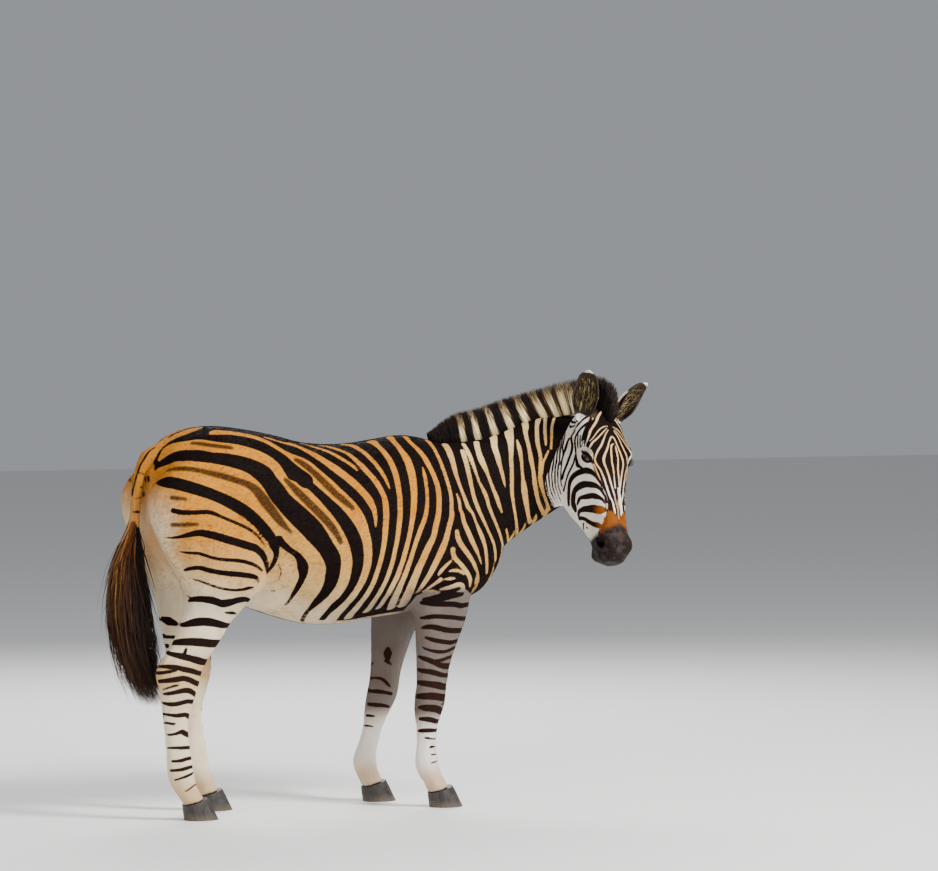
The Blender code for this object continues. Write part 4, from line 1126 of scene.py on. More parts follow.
def lie_of_coat(points, normals):
    """The way the hair lies at each place, along the hide."""
    p = body_place(points)
    lie = np.tile(np.array((-0.90, 0.0, -0.42)), (len(points), 1))
    neck = smooth_step(p[:, 0], 0.48, 0.66)
    back = np.array(NECK_AXIS[0][1:]) - np.array(NECK_AXIS[-1][1:])
    back = back / np.linalg.norm(back) + np.array((0, 0, -0.55))
    lie = lie * (1 - neck[:, None]) + back * neck[:, None]
    legs = leg_masks(points)
    for inside in legs.values():
        on = smooth_step(inside, 0.0, 0.08)[:, None]
        lie = lie * (1 - on) + np.array((-0.12, 0, -1.0)) * on
    tail = tail_share(points)[:, None]
    lie = lie * (1 - tail) + np.array((-0.1, 0, -1.0)) * tail
    nose, brow, side = (np.array(axis[:]) for axis in head_axes())
    head = head_mask(points)[:, None]
    h = head_coordinates(points)
    down_face = nose + side * np.sign(h[:, 2:3]) * 0.25 - brow * 0.25
    lie = lie * (1 - head) + down_face * head
    ears = ear_share(points)[:, None]
    lie = lie * (1 - ears) + np.array((0.0, 0.0, 1.0)) * ears
    lie = lie - normals * (lie * normals).sum(1)[:, None]
    return lie / np.maximum(np.linalg.norm(lie, axis=1), 1e-6)[:, None]


def unit(vectors):
    return vectors / np.maximum(np.linalg.norm(vectors, axis=1), 1e-9)[:, None]


def put_attribute(mesh, name, values):
    """Stores one number or one colour for each point of the mesh."""
    values = np.asarray(values, np.float32)
    if values.ndim == 1:
        mesh.attributes.new(name, "FLOAT", "POINT").data.foreach_set("value", values)
        return
    colours = np.ones((len(values), 4), np.float32)
    colours[:, :3] = values
    mesh.color_attributes.new(name, "FLOAT_COLOR", "POINT").data.foreach_set("color", colours.reshape(-1))


def put_grain(mesh, grain):
    """Stores the way the strands run: place along the hair, then across it."""
    values = grain.astype(np.float32).reshape(-1)
    mesh.attributes.new("grain", "FLOAT_VECTOR", "POINT").data.foreach_set("vector", values)


class Shader:
    """A small helper that lays out one material's nodes."""

    def __init__(self, name):
        self.material = bpy.data.materials.new(name)
        self.material.use_nodes = True
        self.tree = self.material.node_tree
        self.bsdf = self.tree.nodes["Principled BSDF"]

    def node(self, kind, **values):
        node = self.tree.nodes.new("ShaderNode" + kind)
        for key, value in values.items():
            setattr(node, key, value)
        return node

    def wire(self, source, target):
        self.tree.links.new(source, target)

    def value(self, socket, value):
        if hasattr(value, "default_value") or hasattr(value, "is_output"):
            self.wire(value, socket)
        else:
            socket.default_value = value

    def math(self, operation, a, b):
        node = self.node("Math", operation=operation)
        self.value(node.inputs[0], a)
        self.value(node.inputs[1], b)
        return node.outputs[0]

    def times(self, a, b):
        return self.math("MULTIPLY", a, b)

    def plus(self, a, b):
        return self.math("ADD", a, b)

    def minus(self, a, b):
        return self.math("SUBTRACT", a, b)

    def power(self, a, b):
        return self.math("POWER", a, b)

    def mix(self, share, a, b, blend="MIX"):
        node = self.node("Mix", data_type="RGBA", blend_type=blend)
        self.value(node.inputs["Factor"], share)
        for socket, value in ((node.inputs[6], a), (node.inputs[7], b)):
            self.value(socket, (*value, 1.0) if isinstance(value, tuple) else value)
        return node.outputs[2]

    def noise(self, vector, scale, detail=2.0, roughness=0.5):
        node = self.node("TexNoise")
        self.wire(vector, node.inputs["Vector"])
        node.inputs["Scale"].default_value = scale
        node.inputs["Detail"].default_value = detail
        node.inputs["Roughness"].default_value = roughness
        return node.outputs["Fac"]

    def step(self, value, low, high):
        node = self.node("MapRange", interpolation_type="SMOOTHSTEP")
        self.value(node.inputs["Value"], value)
        node.inputs["From Min"].default_value = low
        node.inputs["From Max"].default_value = high
        return node.outputs["Result"]

    def stretched(self, vector, scale):
        node = self.node("VectorMath", operation="MULTIPLY")
        self.wire(vector, node.inputs[0])
        node.inputs[1].default_value = scale
        return node.outputs[0]

    def attribute(self, name):
        return self.node("Attribute", attribute_name=name)

    def place(self):
        return self.node("TexCoord").outputs["Object"]

    def bump(self, height, strength, distance):
        node = self.node("Bump")
        node.inputs["Strength"].default_value = strength
        node.inputs["Distance"].default_value = distance
        self.wire(height, node.inputs["Height"])
        self.wire(node.outputs["Normal"], self.bsdf.inputs["Normal"])

    def finish(self, roughness, specular, sheen=0.0, coat=0.0):
        self.bsdf.inputs["Specular IOR Level"].default_value = specular
        self.bsdf.inputs["Sheen Weight"].default_value = sheen
        self.bsdf.inputs["Sheen Roughness"].default_value = 0.5
        self.bsdf.inputs["Coat Weight"].default_value = coat
        self.bsdf.inputs["Coat Roughness"].default_value = 0.04
        self.value(self.bsdf.inputs["Roughness"], roughness)
        return self.material


def hair_material(name, relief):
    """Short hair: dark marks with brown fringes over the pale ground, and the fine grain of the coat."""
    s = Shader(name)
    place = s.place()
    grain_place = s.attribute("grain").outputs["Vector"]
    hairs = s.noise(s.stretched(grain_place, (70, 900, 900)), 1.0, 3.0, 0.65)
    locks = s.noise(s.stretched(grain_place, (28, 190, 190)), 1.0, 3.0, 0.6)
    blotch = s.noise(place, 9.0, 3.0)
    ragged = s.plus(s.times(s.minus(hairs, 0.5), 0.0032),
                    s.times(s.minus(locks, 0.5), 0.0056))
    edge = s.plus(s.attribute("stripe").outputs["Fac"], ragged)
    light_side = s.step(edge, -0.0008, 0.0008)
    fringe = s.times(s.step(edge, -0.0022, -0.0004), s.minus(1.0, light_side))
    shade = s.minus(1.0, s.step(s.plus(s.attribute("shadow").outputs["Fac"], ragged), -0.005, 0.004))
    speckle = s.step(s.noise(s.stretched(grain_place, (90, 420, 420)), 1.0, 2.0, 0.7), 0.20, 0.46)
    shade = s.times(shade, speckle)
    pale = s.attribute("light").outputs["Color"]
    dark = s.attribute("dark").outputs["Color"]
    pale = s.mix(s.times(s.step(blotch, 0.35, 0.7), 0.30), pale, (0.60, 0.40, 0.20), "MULTIPLY")
    pale = s.mix(s.times(s.step(hairs, 0.38, 0.72), 0.42), pale, (0.50, 0.36, 0.22), "MULTIPLY")
    pale = s.mix(s.times(shade, 0.95), pale, (0.024, 0.010, 0.005))
    dark = s.mix(s.times(s.step(locks, 0.45, 0.8), 0.30), dark, (0.011, 0.0068, 0.0062))
    dark = s.mix(s.times(fringe, 0.55), dark, (0.06, 0.02, 0.008))
    colour = s.mix(light_side, dark, pale)
    if not relief:
        s.wire(colour, s.bsdf.inputs["Base Color"])
    if relief:
        bare = s.attribute("bare").outputs["Fac"]
        mottle = s.step(s.noise(place, 26.0, 4.0, 0.65), 0.46, 0.66)
        folds = s.noise(s.stretched(place, (60, 60, 150)), 1.0, 3.0, 0.6)
        colour = s.mix(s.times(s.times(mottle, bare), 0.6), colour, (0.060, 0.042, 0.034))
        s.wire(colour, s.bsdf.inputs["Base Color"])
        height = s.plus(s.times(hairs, 0.5), locks)
        height = s.times(height, s.minus(1.0, s.times(bare, 0.6)))
        height = s.plus(height, s.times(s.times(folds, bare), 3.2))
        s.bump(height, 0.45, 0.0022)
    rough = s.plus(s.times(hairs, 0.2), 0.62)
    bare_shine = s.times(s.attribute("bare").outputs["Fac"], 0.22) if relief else 0.0
    return s.finish(s.minus(rough, bare_shine), 0.05 if relief else 0.03)


def strand_material(name, sheen):
    """Coarse long hair: each lock carries its own tone, with fine strands along it."""
    s = Shader(name)
    tone = s.attribute("tone").outputs["Color"]
    grain = s.attribute("grain").outputs["Vector"]
    strands = s.noise(s.stretched(grain, (14, 1200, 1200)), 1.0, 2.0, 0.6)
    colour = s.mix(s.times(s.step(strands, 0.35, 0.7), 0.45), tone, (0.55, 0.45, 0.34), "MULTIPLY")
    s.wire(colour, s.bsdf.inputs["Base Color"])
    s.bump(strands, 0.5, 0.0012)
    return s.finish(s.plus(s.times(strands, 0.2), 0.42), 0.12, sheen)


def horn_material():
    """Hoof horn: grey-black, faint growth rings, a dusty paler band at the ground."""
    s = Shader("hoof_horn")
    place = s.place()
    rings = s.noise(s.stretched(place, (12, 12, 420)), 1.0, 2.0)
    grain = s.noise(s.stretched(place, (260, 260, 14)), 1.0, 2.0)
    blotch = s.noise(place, 40.0, 3.0)
    height = s.node("SeparateXYZ")
    s.wire(place, height.inputs[0])
    dust = s.minus(1.0, s.step(height.outputs["Z"], 0.0, 0.03))
    colour = s.mix(s.step(blotch, 0.3, 0.7), (0.014, 0.011, 0.010), (0.040, 0.032, 0.028))
    colour = s.mix(s.times(s.step(grain, 0.4, 0.7), 0.5), colour, (0.055, 0.044, 0.036))
    colour = s.mix(s.times(dust, 0.5), colour, (0.14, 0.105, 0.07))
    s.wire(colour, s.bsdf.inputs["Base Color"])
    s.bump(s.plus(rings, s.times(grain, 0.6)), 0.35, 0.0015)
    return s.finish(s.plus(s.times(blotch, 0.25), 0.38), 0.4)


def eye_material(name, centre, axis):
    """A dark brown eye with a long level pupil under a wet clear coat."""
    s = Shader(name)
    offset = s.node("VectorMath", operation="SUBTRACT")
    s.wire(s.place(), offset.inputs[0])
    offset.inputs[1].default_value = centre
    level = Vector((0, 0, 1)).cross(axis).normalized()
    squares = []
    for way, share in ((level, 1.0), (axis.cross(level).normalized(), 1.0), (level, 0.55)):
        reach = s.node("VectorMath", operation="DOT_PRODUCT")
        s.wire(offset.outputs[0], reach.inputs[0])
        reach.inputs[1].default_value = way * share
        squares.append(s.power(reach.outputs["Value"], 2.0))
    wide, tall, narrow = squares
    far = s.power(s.plus(wide, tall), 0.5)
    slot = s.power(s.plus(narrow, tall), 0.5)
    fibres = s.noise(s.stretched(s.place(), (500, 500, 500)), 1.0, 2.0)
    colour = s.mix(s.step(fibres, 0.3, 0.7), (0.009, 0.0045, 0.003), (0.024, 0.011, 0.006))
    colour = s.mix(s.step(slot, 0.0055, 0.0040), colour, (0.004, 0.004, 0.005))
    colour = s.mix(s.step(far, 0.0155, 0.0175), colour, (0.020, 0.013, 0.011))
    s.wire(colour, s.bsdf.inputs["Base Color"])
    s.bump(fibres, 0.05, 0.0003)
    return s.finish(s.plus(s.times(fibres, 0.04), 0.05), 0.6, 0.0, 1.0)


def spikes(paths, half_widths, across, out, thickness):
    """Closed tapering locks: one three-sided tube along each path, drawn to a point."""
    count, rings, _ = paths.shape
    tube = rings - 1
    corners = np.empty((count, tube, 3, 3))
    for j in range(tube):
        w = half_widths[:, j, None]
        corners[:, j, 0] = paths[:, j] - across * w
        corners[:, j, 1] = paths[:, j] + across * w
        corners[:, j, 2] = paths[:, j] + out * (w * thickness)
    points = np.concatenate([corners.reshape(count, tube * 3, 3), paths[:, -1:]], axis=1)
    each = tube * 3 + 1
    local = [(0, 2, 1)]
    for j in range(tube - 1):
        for k in range(3):
            a, b = j * 3 + k, j * 3 + (k + 1) % 3
            local += [(a, b, b + 3), (a, b + 3, a + 3)]
    last = (tube - 1) * 3
    for k in range(3):
        local.append((last + k, last + (k + 1) % 3, each - 1))
    triangles = np.array(local)[None] + (np.arange(count) * each)[:, None, None]
    return points.reshape(-1, 3), triangles.reshape(-1, 3), each


def triangle_mesh(name, points, triangles):
    mesh = bpy.data.meshes.new(name)
    mesh.vertices.add(len(points))
    mesh.vertices.foreach_set("co", np.asarray(points, np.float32).reshape(-1))
    mesh.loops.add(len(triangles) * 3)
    mesh.loops.foreach_set("vertex_index", np.asarray(triangles, np.int32).reshape(-1))
    mesh.polygons.add(len(triangles))
    mesh.polygons.foreach_set("loop_start", np.arange(0, len(triangles) * 3, 3, dtype=np.int32))
    mesh.update(calc_edges=True)
    mesh.polygons.foreach_set("use_smooth", np.ones(len(triangles), bool))
    return mesh


def piece(name, mesh, material, slot, *nodes):
    """A finished piece that rides with the animal and stands for the named nodes."""
    obj = bpy.data.objects.new(name, mesh)
    bpy.context.scene.collection.objects.link(obj)
    mesh.materials.clear()
    mesh.materials.append(material)
    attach(obj, "root")
    if nodes:
        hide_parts(*nodes)
    return obj


def put_patches(mesh, places, each, patch=0.003):
    """The OFBake map: each lock is a small patch at its root's place on the unwrapped hide."""
    layer = mesh.uv_layers.new(name="OFBake")
    turn = np.linspace(0, 2 * np.pi, each, endpoint=False)
    corner = np.stack([np.cos(turn), np.sin(turn)], 1) * patch / 2
    per_point = (places[:, None, :] + corner[None]).reshape(-1, 2)
    index = np.empty(len(mesh.loops), np.int32)
    mesh.loops.foreach_get("vertex_index", index)
    layer.data.foreach_set("uv", np.asarray(per_point[index], np.float32).reshape(-1))


# Sculpted forms of the head: place along, rise, out to the side, then reach and height in millimetres.
HEAD_FORMS = [
    (0.170, 0.062, 0.060, 26, 3.0),
    (0.215, -0.030, 0.085, 22, 3.5),
    (0.270, -0.018, 0.070, 24, 3.0),
    (0.330, -0.006, 0.055, 24, 1.5),
    (0.150, -0.060, 0.085, 40, 3.5),
    (0.235, -0.100, 0.070, 34, 2.5),
    (0.250, 0.020, 0.055, 24, -3.0),
    (0.110, 0.040, 0.060, 22, -3.5),
    (0.360, -0.060, 0.050, 30, -3.0),
    (0.480, -0.010, 0.036, 16, 3.0),
    (0.520, -0.060, 0.030, 18, 2.5),
    (0.510, -0.105, 0.018, 20, 2.0),
]
# Sculpted forms of the body: x, y (outward), z, then reach along x, y, z and height in millimetres.
BODY_FORMS = [
    (0.40, 0.18, 1.05, 60, 80, 150, 4.0),
    (0.30, 0.20, 0.98, 40, 80, 120, -4.0),
    (0.33, 0.17, 0.80, 70, 80, 60, 5.0),
    (0.43, 0.20, 0.83, 60, 80, 60, 4.0),
    (0.50, 0.17, 0.76, 30, 80, 50, -5.0),
    (-0.30, 0.20, 1.12, 60, 80, 60, 5.0),
    (-0.22, 0.20, 1.02, 50, 80, 90, -6.0),
    (-0.28, 0.20, 0.82, 50, 80, 70, 5.0),
    (-0.24, 0.20, 0.74, 40, 80, 40, -5.0),
    (-0.50, 0.20, 0.90, 20, 80, 130, -4.0),
    (-0.46, 0.20, 1.02, 60, 80, 60, 4.0),
    (-0.38, 0.18, 0.70, 50, 80, 40, 4.0),
]


def pushed(points, normals):
    """Lifts and sinks the hide over muscles and bones."""
    h = head_coordinates(points)
    lift = np.zeros(len(points))
    for along, rise, out, reach, height in HEAD_FORMS:
        d2 = (h[:, 0] - along) ** 2 + (h[:, 1] - rise) ** 2 + (np.abs(h[:, 2]) - out) ** 2
        lift += height / 1000 * np.exp(-d2 / (reach / 1000) ** 2)
    p = body_place(points)
    for x, y, z, rx, ry, rz, height in BODY_FORMS:
        away = (p[:, 0] - x, np.abs(p[:, 1]) - y, p[:, 2] - z)
        d2 = sum((gap * 1000 / reach) ** 2 for gap, reach in zip(away, (rx, ry, rz)))
        lift += height / 1000 * np.exp(-d2)
    points = points + normals * lift[:, None]
    for name, wider in (("right", 0.0045), ("left", 0.002)):
        place, across, _ = ear_place(name, points, normals)
        _, _, _, side = ear_frame(name)
        on = (place > 0.05) & (place < 1.1) & (np.abs(across) < 1.3)
        tip = smooth_step(place, 0.72, 0.92)
        grow = on * smooth_step(place, 0.05, 0.3) * np.tanh(across * 2.5) * wider * (1 + 0.9 * tip)
        points = points + np.array(side[:]) * grow[:, None]
    return points


def eye_frame(side):
    """Centre of the eye, its outward axis, the way its slit runs, and up."""
    centre = head_point(EYE_PLACE[0], EYE_PLACE[1], EYE_PLACE[2] * side)
    nose, brow, left = head_axes()
    axis = (left * side * 0.93 + brow * 0.30 + nose * 0.10).normalized()
    slit = (nose * 0.82 + brow * 0.58).normalized()
    slit = (slit - axis * slit.dot(axis)).normalized()
    up = axis.cross(slit)
    if up.dot(nose) > 0:
        up = -up
    return centre, axis, slit, up


def lids_over(points, radius=EYE_RADIUS):
    """Shapes the lids: the hide wraps each eyeball outside a slanting almond and drops behind it inside."""
    almond = np.zeros(len(points))
    for side in (1, -1):
        centre, axis, slit, up = (np.array(v[:]) for v in eye_frame(side))
        away = points - centre
        distance = np.linalg.norm(away, axis=1)
        unit = away / np.maximum(distance, 1e-6)[:, None]
        front = unit @ axis
        a, b = away @ slit, away @ up
        tall = np.where(b > 0, 0.0062, 0.0066)
        lobe = (np.abs(a) / 0.0150) ** 2 + (np.abs(b) / tall) ** 2
        near = (distance < radius + 0.013) & (front > 0.05)
        inside = near & (lobe < 1.0) & (front > 0.3)
        rim = np.exp(-((np.sqrt(lobe) - 1.45) / 0.35) ** 2)
        lid_radius = radius + 0.0018 + 0.0022 * rim
        blend = smooth_step(radius + 0.014 - distance, 0.0, 0.010)[:, None]
        target = centre + unit * lid_radius[:, None]
        lid = near & ~inside
        points = np.where(lid[:, None], points + (target - points) * blend, points)
        points = np.where(inside[:, None], centre + unit * (radius - 0.004), points)
        dark_half = 0.0165 - 0.006 * smooth_step(np.abs(a), 0.010, 0.034)
        reach = np.sqrt((a / 0.037) ** 2 + ((b - 0.002) / dark_half) ** 2)
        almond = np.where(distance < 0.05, np.maximum(almond, smooth_step(1.06 - reach, 0.0, 0.12)), almond)
    return points, almond


def openings(points):
    """Sinks the nostrils and draws the mouth line; the share it returns marks them as bare and paints them
    near black as shade.
    """
    h = head_coordinates(points)
    out = np.abs(h[:, 2])
    _, brow, left = head_axes()
    a = (h[:, 0] - 0.478) * cos(radians(25)) + (h[:, 1] - 0.006) * sin(radians(25))
    b = -(h[:, 0] - 0.478) * sin(radians(25)) + (h[:, 1] - 0.006) * cos(radians(25))
    hole = np.exp(-((a / 0.020) ** 4 + (b / 0.0115) ** 4)) * smooth_step(out, 0.008, 0.016)
    ring = np.sqrt((a / 0.026) ** 2 + (b / 0.017) ** 2)
    rim = np.exp(-((ring - 1.15) / 0.28) ** 2) * smooth_step(out, 0.008, 0.020)
    inward = np.stack([-np.array(left[:]) * s - np.array(brow[:]) * 0.5 for s in (1, -1)])
    which = (h[:, 2] < 0).astype(int)
    points = points + inward[which] * (hole * 0.023 - rim * 0.0045)[:, None]
    line = np.interp(h[:, 0], [0.44, 0.47, 0.50, 0.53, 0.56], [-0.098, -0.090, -0.086, -0.086, -0.088])
    groove = np.exp(-((h[:, 1] - line) / 0.0035) ** 2) * smooth_step(h[:, 0], 0.43, 0.45)
    middle = np.array(head_point(0.48, -0.06, 0))
    inward = middle - points
    inward /= np.linalg.norm(inward, axis=1)[:, None]
    return points + inward * (groove * 0.004)[:, None], np.maximum(hole, groove * 0.7)


class ZebraHide(bpy.types.PropertyGroup):
    body_voxel: FloatProperty(
        name="Body grain", description="Fineness of the hide on the body", default=0.0052, min=0.004,
        unit="LENGTH"
    )
    head_voxel: FloatProperty(
        name="Head grain", description="Fineness of the hide on the head", default=0.0028, min=0.002,
        unit="LENGTH"
    )
    depth: FloatProperty(
        name="Coat depth", description="How far the hide lies under the flesh's outline", default=0.0025,
        min=0.0, unit="LENGTH"
    )


class ZebraHair(bpy.types.PropertyGroup):
    mane_locks: IntProperty(
        name="Mane locks", description="Number of locks in the mane", default=9000, min=500
    )
    tail_locks: IntProperty(
        name="Tail locks", description="Number of locks in the tail", default=2600, min=200
    )
    tufts: IntProperty(
        name="Coat tufts", description="Number of tufts over the whole hide", default=190000, min=100
    )


class ZebraStage(bpy.types.PropertyGroup):
    floor_colour: FloatVectorProperty(
        name="Floor colour", description="Colour of the floor", subtype="COLOR", default=(0.80, 0.79, 0.77),
        min=0, max=1
    )
    lens: FloatProperty(
        name="Lens", description="Focal length of the camera in millimetres", default=179.31, min=10
    )


# What the later operators need of the finished hide.
HIDE = {}
SEEDS = {"coat": 3, "fine_hair": 19, "mane": 7, "tail": 11}


class ZEBRA_OT_hide(bpy.types.Operator):
    """Builds the one skin over the flesh and paints its marks"""

    bl_idname = "zebra.hide"
    bl_label = "Hide"

    def execute(self, context):
        settings = context.scene.zebra_hide
        mesh = build_skin_mesh(settings)
        points, normals = mesh_points(mesh), mesh_normals(mesh)
        low = smooth_step(-points[:, 2], -0.70, -0.55)
        fine = np.maximum(low * 0.5, head_mask(points) * 0.65)
        fine = np.maximum(fine, ear_share(points) * 0.85)
        points = points - normals * (settings.depth * (1 - fine))[:, None]
        points = pushed(points, normals)
        points, almond = lids_over(points)
        points, bare = openings(points)
        put_points(mesh, points)
        mesh.polygons.foreach_set("use_smooth", np.ones(len(mesh.polygons), bool))
        normals = mesh_normals(mesh)
        tree = tree_of(mesh)
        field, shadow = stripe_field(points, tree)
        light, dark, muzzle = hair_colours(points, normals)
        light = blend_colours(light, LID_SKIN, almond)
        dark = blend_colours(dark, LID_SKIN, almond)
        # Painted shade: the nostrils and the mouth line go near black.
        light = blend_colours(light, HOLE_SHADE, bare)
        dark = blend_colours(dark, HOLE_SHADE, bare)
        lie = lie_of_coat(points, normals)
        across = np.cross(lie, normals)
        put_attribute(mesh, "stripe", field)
        put_attribute(mesh, "shadow", shadow)
        put_attribute(mesh, "light", light)
        put_attribute(mesh, "dark", dark)
        put_attribute(mesh, "bare", np.maximum(muzzle, bare))
        grain = np.stack([(points * lie).sum(1), (points * across).sum(1), (points * normals).sum(1)], 1)
        put_grain(mesh, grain)
        HIDE.update(mesh=mesh, tree=tree, points=points, normals=normals, lie=lie)
        HIDE.update(stripe=field, shadow=shadow, light=light, dark=dark)
        HIDE.update(almond=almond, bare=np.maximum(muzzle, bare))
        HIDE.update(head=head_mask(points), tail=tail_share(points))
        piece("hide", mesh, hair_material("short_hair_hide", True), "coat", *FLESH)
        return {"FINISHED"}


TRUNK_RIGHT, TRUNK_LEFT, NECK, HEAD, FORELEGS, HINDLEGS, TAIL = range(7)


def coat_regions(points, head, tail):
    """Which coat piece each place belongs to, and its place on that piece's unwrapped hide."""
    p = body_place(points)
    x, g, side = trunk_chart(points)
    region = np.where(side > 0, TRUNK_RIGHT, TRUNK_LEFT)
    u, v = (x + 0.66) / 1.36, 0.02 + 0.95 * g / 180
    t, angle, near, _ = neck_chart(points)
    neck = (t > 0.12) & (p[:, 0] > 0.48)
    region[neck] = NECK
    u[neck], v[neck] = 0.02 + 0.9 * t[neck] / 0.7, (0.5 + near * angle / 370)[neck]
    for name, inside in leg_masks(points).items():
        on = inside > 0.0
        rows = np.array(sorted(LEG_AXES[name]), float)
        out = np.interp(p[:, 2], rows[:, 0], rows[:, 2]) * (1 if name.endswith("left") else -1)
        middle = np.interp(p[:, 2], rows[:, 0], rows[:, 1])
        turn = np.arctan2(p[:, 1] - out, p[:, 0] - middle) / (2 * np.pi) + 0.5
        region[on] = FORELEGS if name.startswith("fore") else HINDLEGS
        u[on] = (0.01 + 0.47 * turn + (0.5 if name.endswith("left") else 0.0))[on]
        v[on] = (0.02 + 1.2 * p[:, 2])[on]
    on = tail > 0.5
    region[on] = TAIL
    u[on] = (0.5 + np.arctan2(p[:, 1], -0.6 - p[:, 0]) / 6.6)[on]
    v[on] = ((p[:, 2] - 0.9) * 2.4)[on]
    along, face = head_chart(points)
    on = head > 0.5
    region[on] = HEAD
    u[on], v[on] = (0.16 + 1.4 * along)[on], (0.5 + face / 370)[on]
    return region, np.stack([np.clip(u, 0.004, 0.996), np.clip(v, 0.004, 0.996)], 1)


# Each coat piece, in the order of the regions: its share of the tufts, and how long, wide and high its
# tufts stand, in millimetres.
COATS = [
    ("coat_trunk_right", 0.205, 16, 0.70, 1.5),
    ("coat_trunk_left", 0.205, 16, 0.70, 1.5),
    ("coat_neck", 0.140, 13, 0.65, 1.4),
    ("coat_head", 0.190, 5.5, 0.42, 0.9),
    ("coat_forelegs", 0.105, 9, 0.5, 1.0),
    ("coat_hindlegs", 0.140, 10, 0.5, 1.0),
    ("coat_tail", 0.015, 12, 0.6, 1.6),
]


class ZEBRA_OT_coat(bpy.types.Operator):
    """Lays the short coat over the hide in thin tufts that follow its lie"""

    bl_idname = "zebra.coat"
    bl_label = "Coat"

    def execute(self, context):
        rng = np.random.default_rng(SEEDS["coat"])
        points, normals, lie = HIDE["points"], HIDE["normals"], HIDE["lie"]
        triangles = np.array([t.vertices for t in HIDE["mesh"].loop_triangles])
        a, b, c = (points[triangles[:, k]] for k in range(3))
        area = np.linalg.norm(np.cross(b - a, c - a), axis=1)
        open_skin = (HIDE["bare"][triangles].max(1) > 0.25) | (HIDE["almond"][triangles].max(1) > 0.2)
        area[open_skin] = 0
        region, spot = coat_regions(points, HIDE["head"], HIDE["tail"])
        of_triangle = region[triangles[:, 0]]
        material = hair_material("short_hair_coat", False)
        low_leg = smooth_step(-points[:, 2], -0.5, -0.1)
        for number, (name, share, length, width, rise) in enumerate(COATS):
            weight = area * (of_triangle == number)
            count = int(context.scene.zebra_hair.tufts * share)
            chosen = triangles[rng.choice(len(triangles), count, p=weight / weight.sum())]
            mix = rng.dirichlet((1, 1, 1), count)
            root, normal, along = (
                np.einsum("nk,nkc->nc", mix, data[chosen]) for data in (points, normals, lie)
            )
            normal = unit(normal)
            across = np.cross(along, normal)
            along = unit(along + across * rng.normal(0, 0.16, count)[:, None])
            small = 1 - 0.45 * low_leg[chosen[:, 0]]
            long = (length / 1000 * rng.uniform(0.65, 1.2, count) * small)[:, None]
            high = (rise / 1000 * rng.uniform(0.5, 1.0, count) * small)[:, None]
            paths = np.stack([root - normal * 0.0006, root + along * long + normal * high], 1)
            half = np.stack([width / 1000 * rng.uniform(0.7, 1.2, count) * small, np.zeros(count)], 1)
            locks, faces, each = spikes(paths, half, across, normal, 1.0)
            mesh = triangle_mesh(name, locks, faces)
            tips = nearest_on_hide(paths[:, 1])
            tint = rng.uniform(0.86, 1.12, count)[:, None]
            for label in ("stripe", "shadow", "light", "dark"):
                data = HIDE[label]
                rooted = np.einsum("nk,nk...->n...", mix, data[chosen])
                tipped = data[tips]
                if data.ndim == 2:
                    rooted, tipped = rooted * tint, tipped * tint
                values = np.repeat(rooted[:, None], each, axis=1)
                values[:, -1] = tipped
                put_attribute(mesh, label, values.reshape(count * each, *data.shape[1:]))
            seed = rng.uniform(0, 4, (count, 1, 3))
            grain = np.repeat(seed, each, axis=1)
            grain[:, -1, 0] += long[:, 0]
            put_grain(mesh, grain)
            put_patches(mesh, np.einsum("nk,nkc->nc", mix, spot[chosen]), each)
            piece(name, mesh, material, "coat")
        return {"FINISHED"}


def nearest_on_hide(places):
    """The hide point nearest each place."""
    tree = HIDE["tree"]
    corners = HIDE["mesh"].loop_triangles
    points = HIDE["points"]
    result = [tree.find_nearest(place)[2] for place in places]
    triangles = np.empty(len(corners) * 3, np.int32)
    corners.foreach_get("vertices", triangles)
    triangles = triangles.reshape(-1, 3)[result]
    away = np.linalg.norm(points[triangles] - places[:, None], axis=2)
    return triangles[np.arange(len(places)), away.argmin(1)]


def smooth_hairs(name, roots, directions, bends, lengths, widths, tones, rng):
    """Long single hairs of four joints, each with its own tone."""
    count = len(roots)
    steps = np.array([0.0, 0.35, 0.7, 1.0])
    reach = lengths[:, None, None] * steps[None, :, None]
    paths = roots[:, None] + directions[:, None] * reach + bends[:, None] * (steps ** 2)[None, :, None]
    across = unit(np.cross(directions, bends + 1e-5))
    out = np.cross(across, directions)
    half = widths[:, None] * np.array([0.8, 1.0, 0.7, 0.0])
    points, triangles, each = spikes(paths, half, across, out, 0.8)
    mesh = triangle_mesh(name, points, triangles)
    put_attribute(mesh, "tone", np.repeat(tones, each, axis=0))
    grain = np.repeat(rng.uniform(0, 1, (count, 3)), each, axis=0)
    put_grain(mesh, grain)
    place = np.stack([np.arange(count) % 40 / 41 + 0.01, np.arange(count) // 40 / 41 + 0.01], 1)
    put_patches(mesh, place, each)
    return piece(name, mesh, strand_material(name, 0.0), "dark_hair")


EAR_HAIRS = 330
LASHES = 34


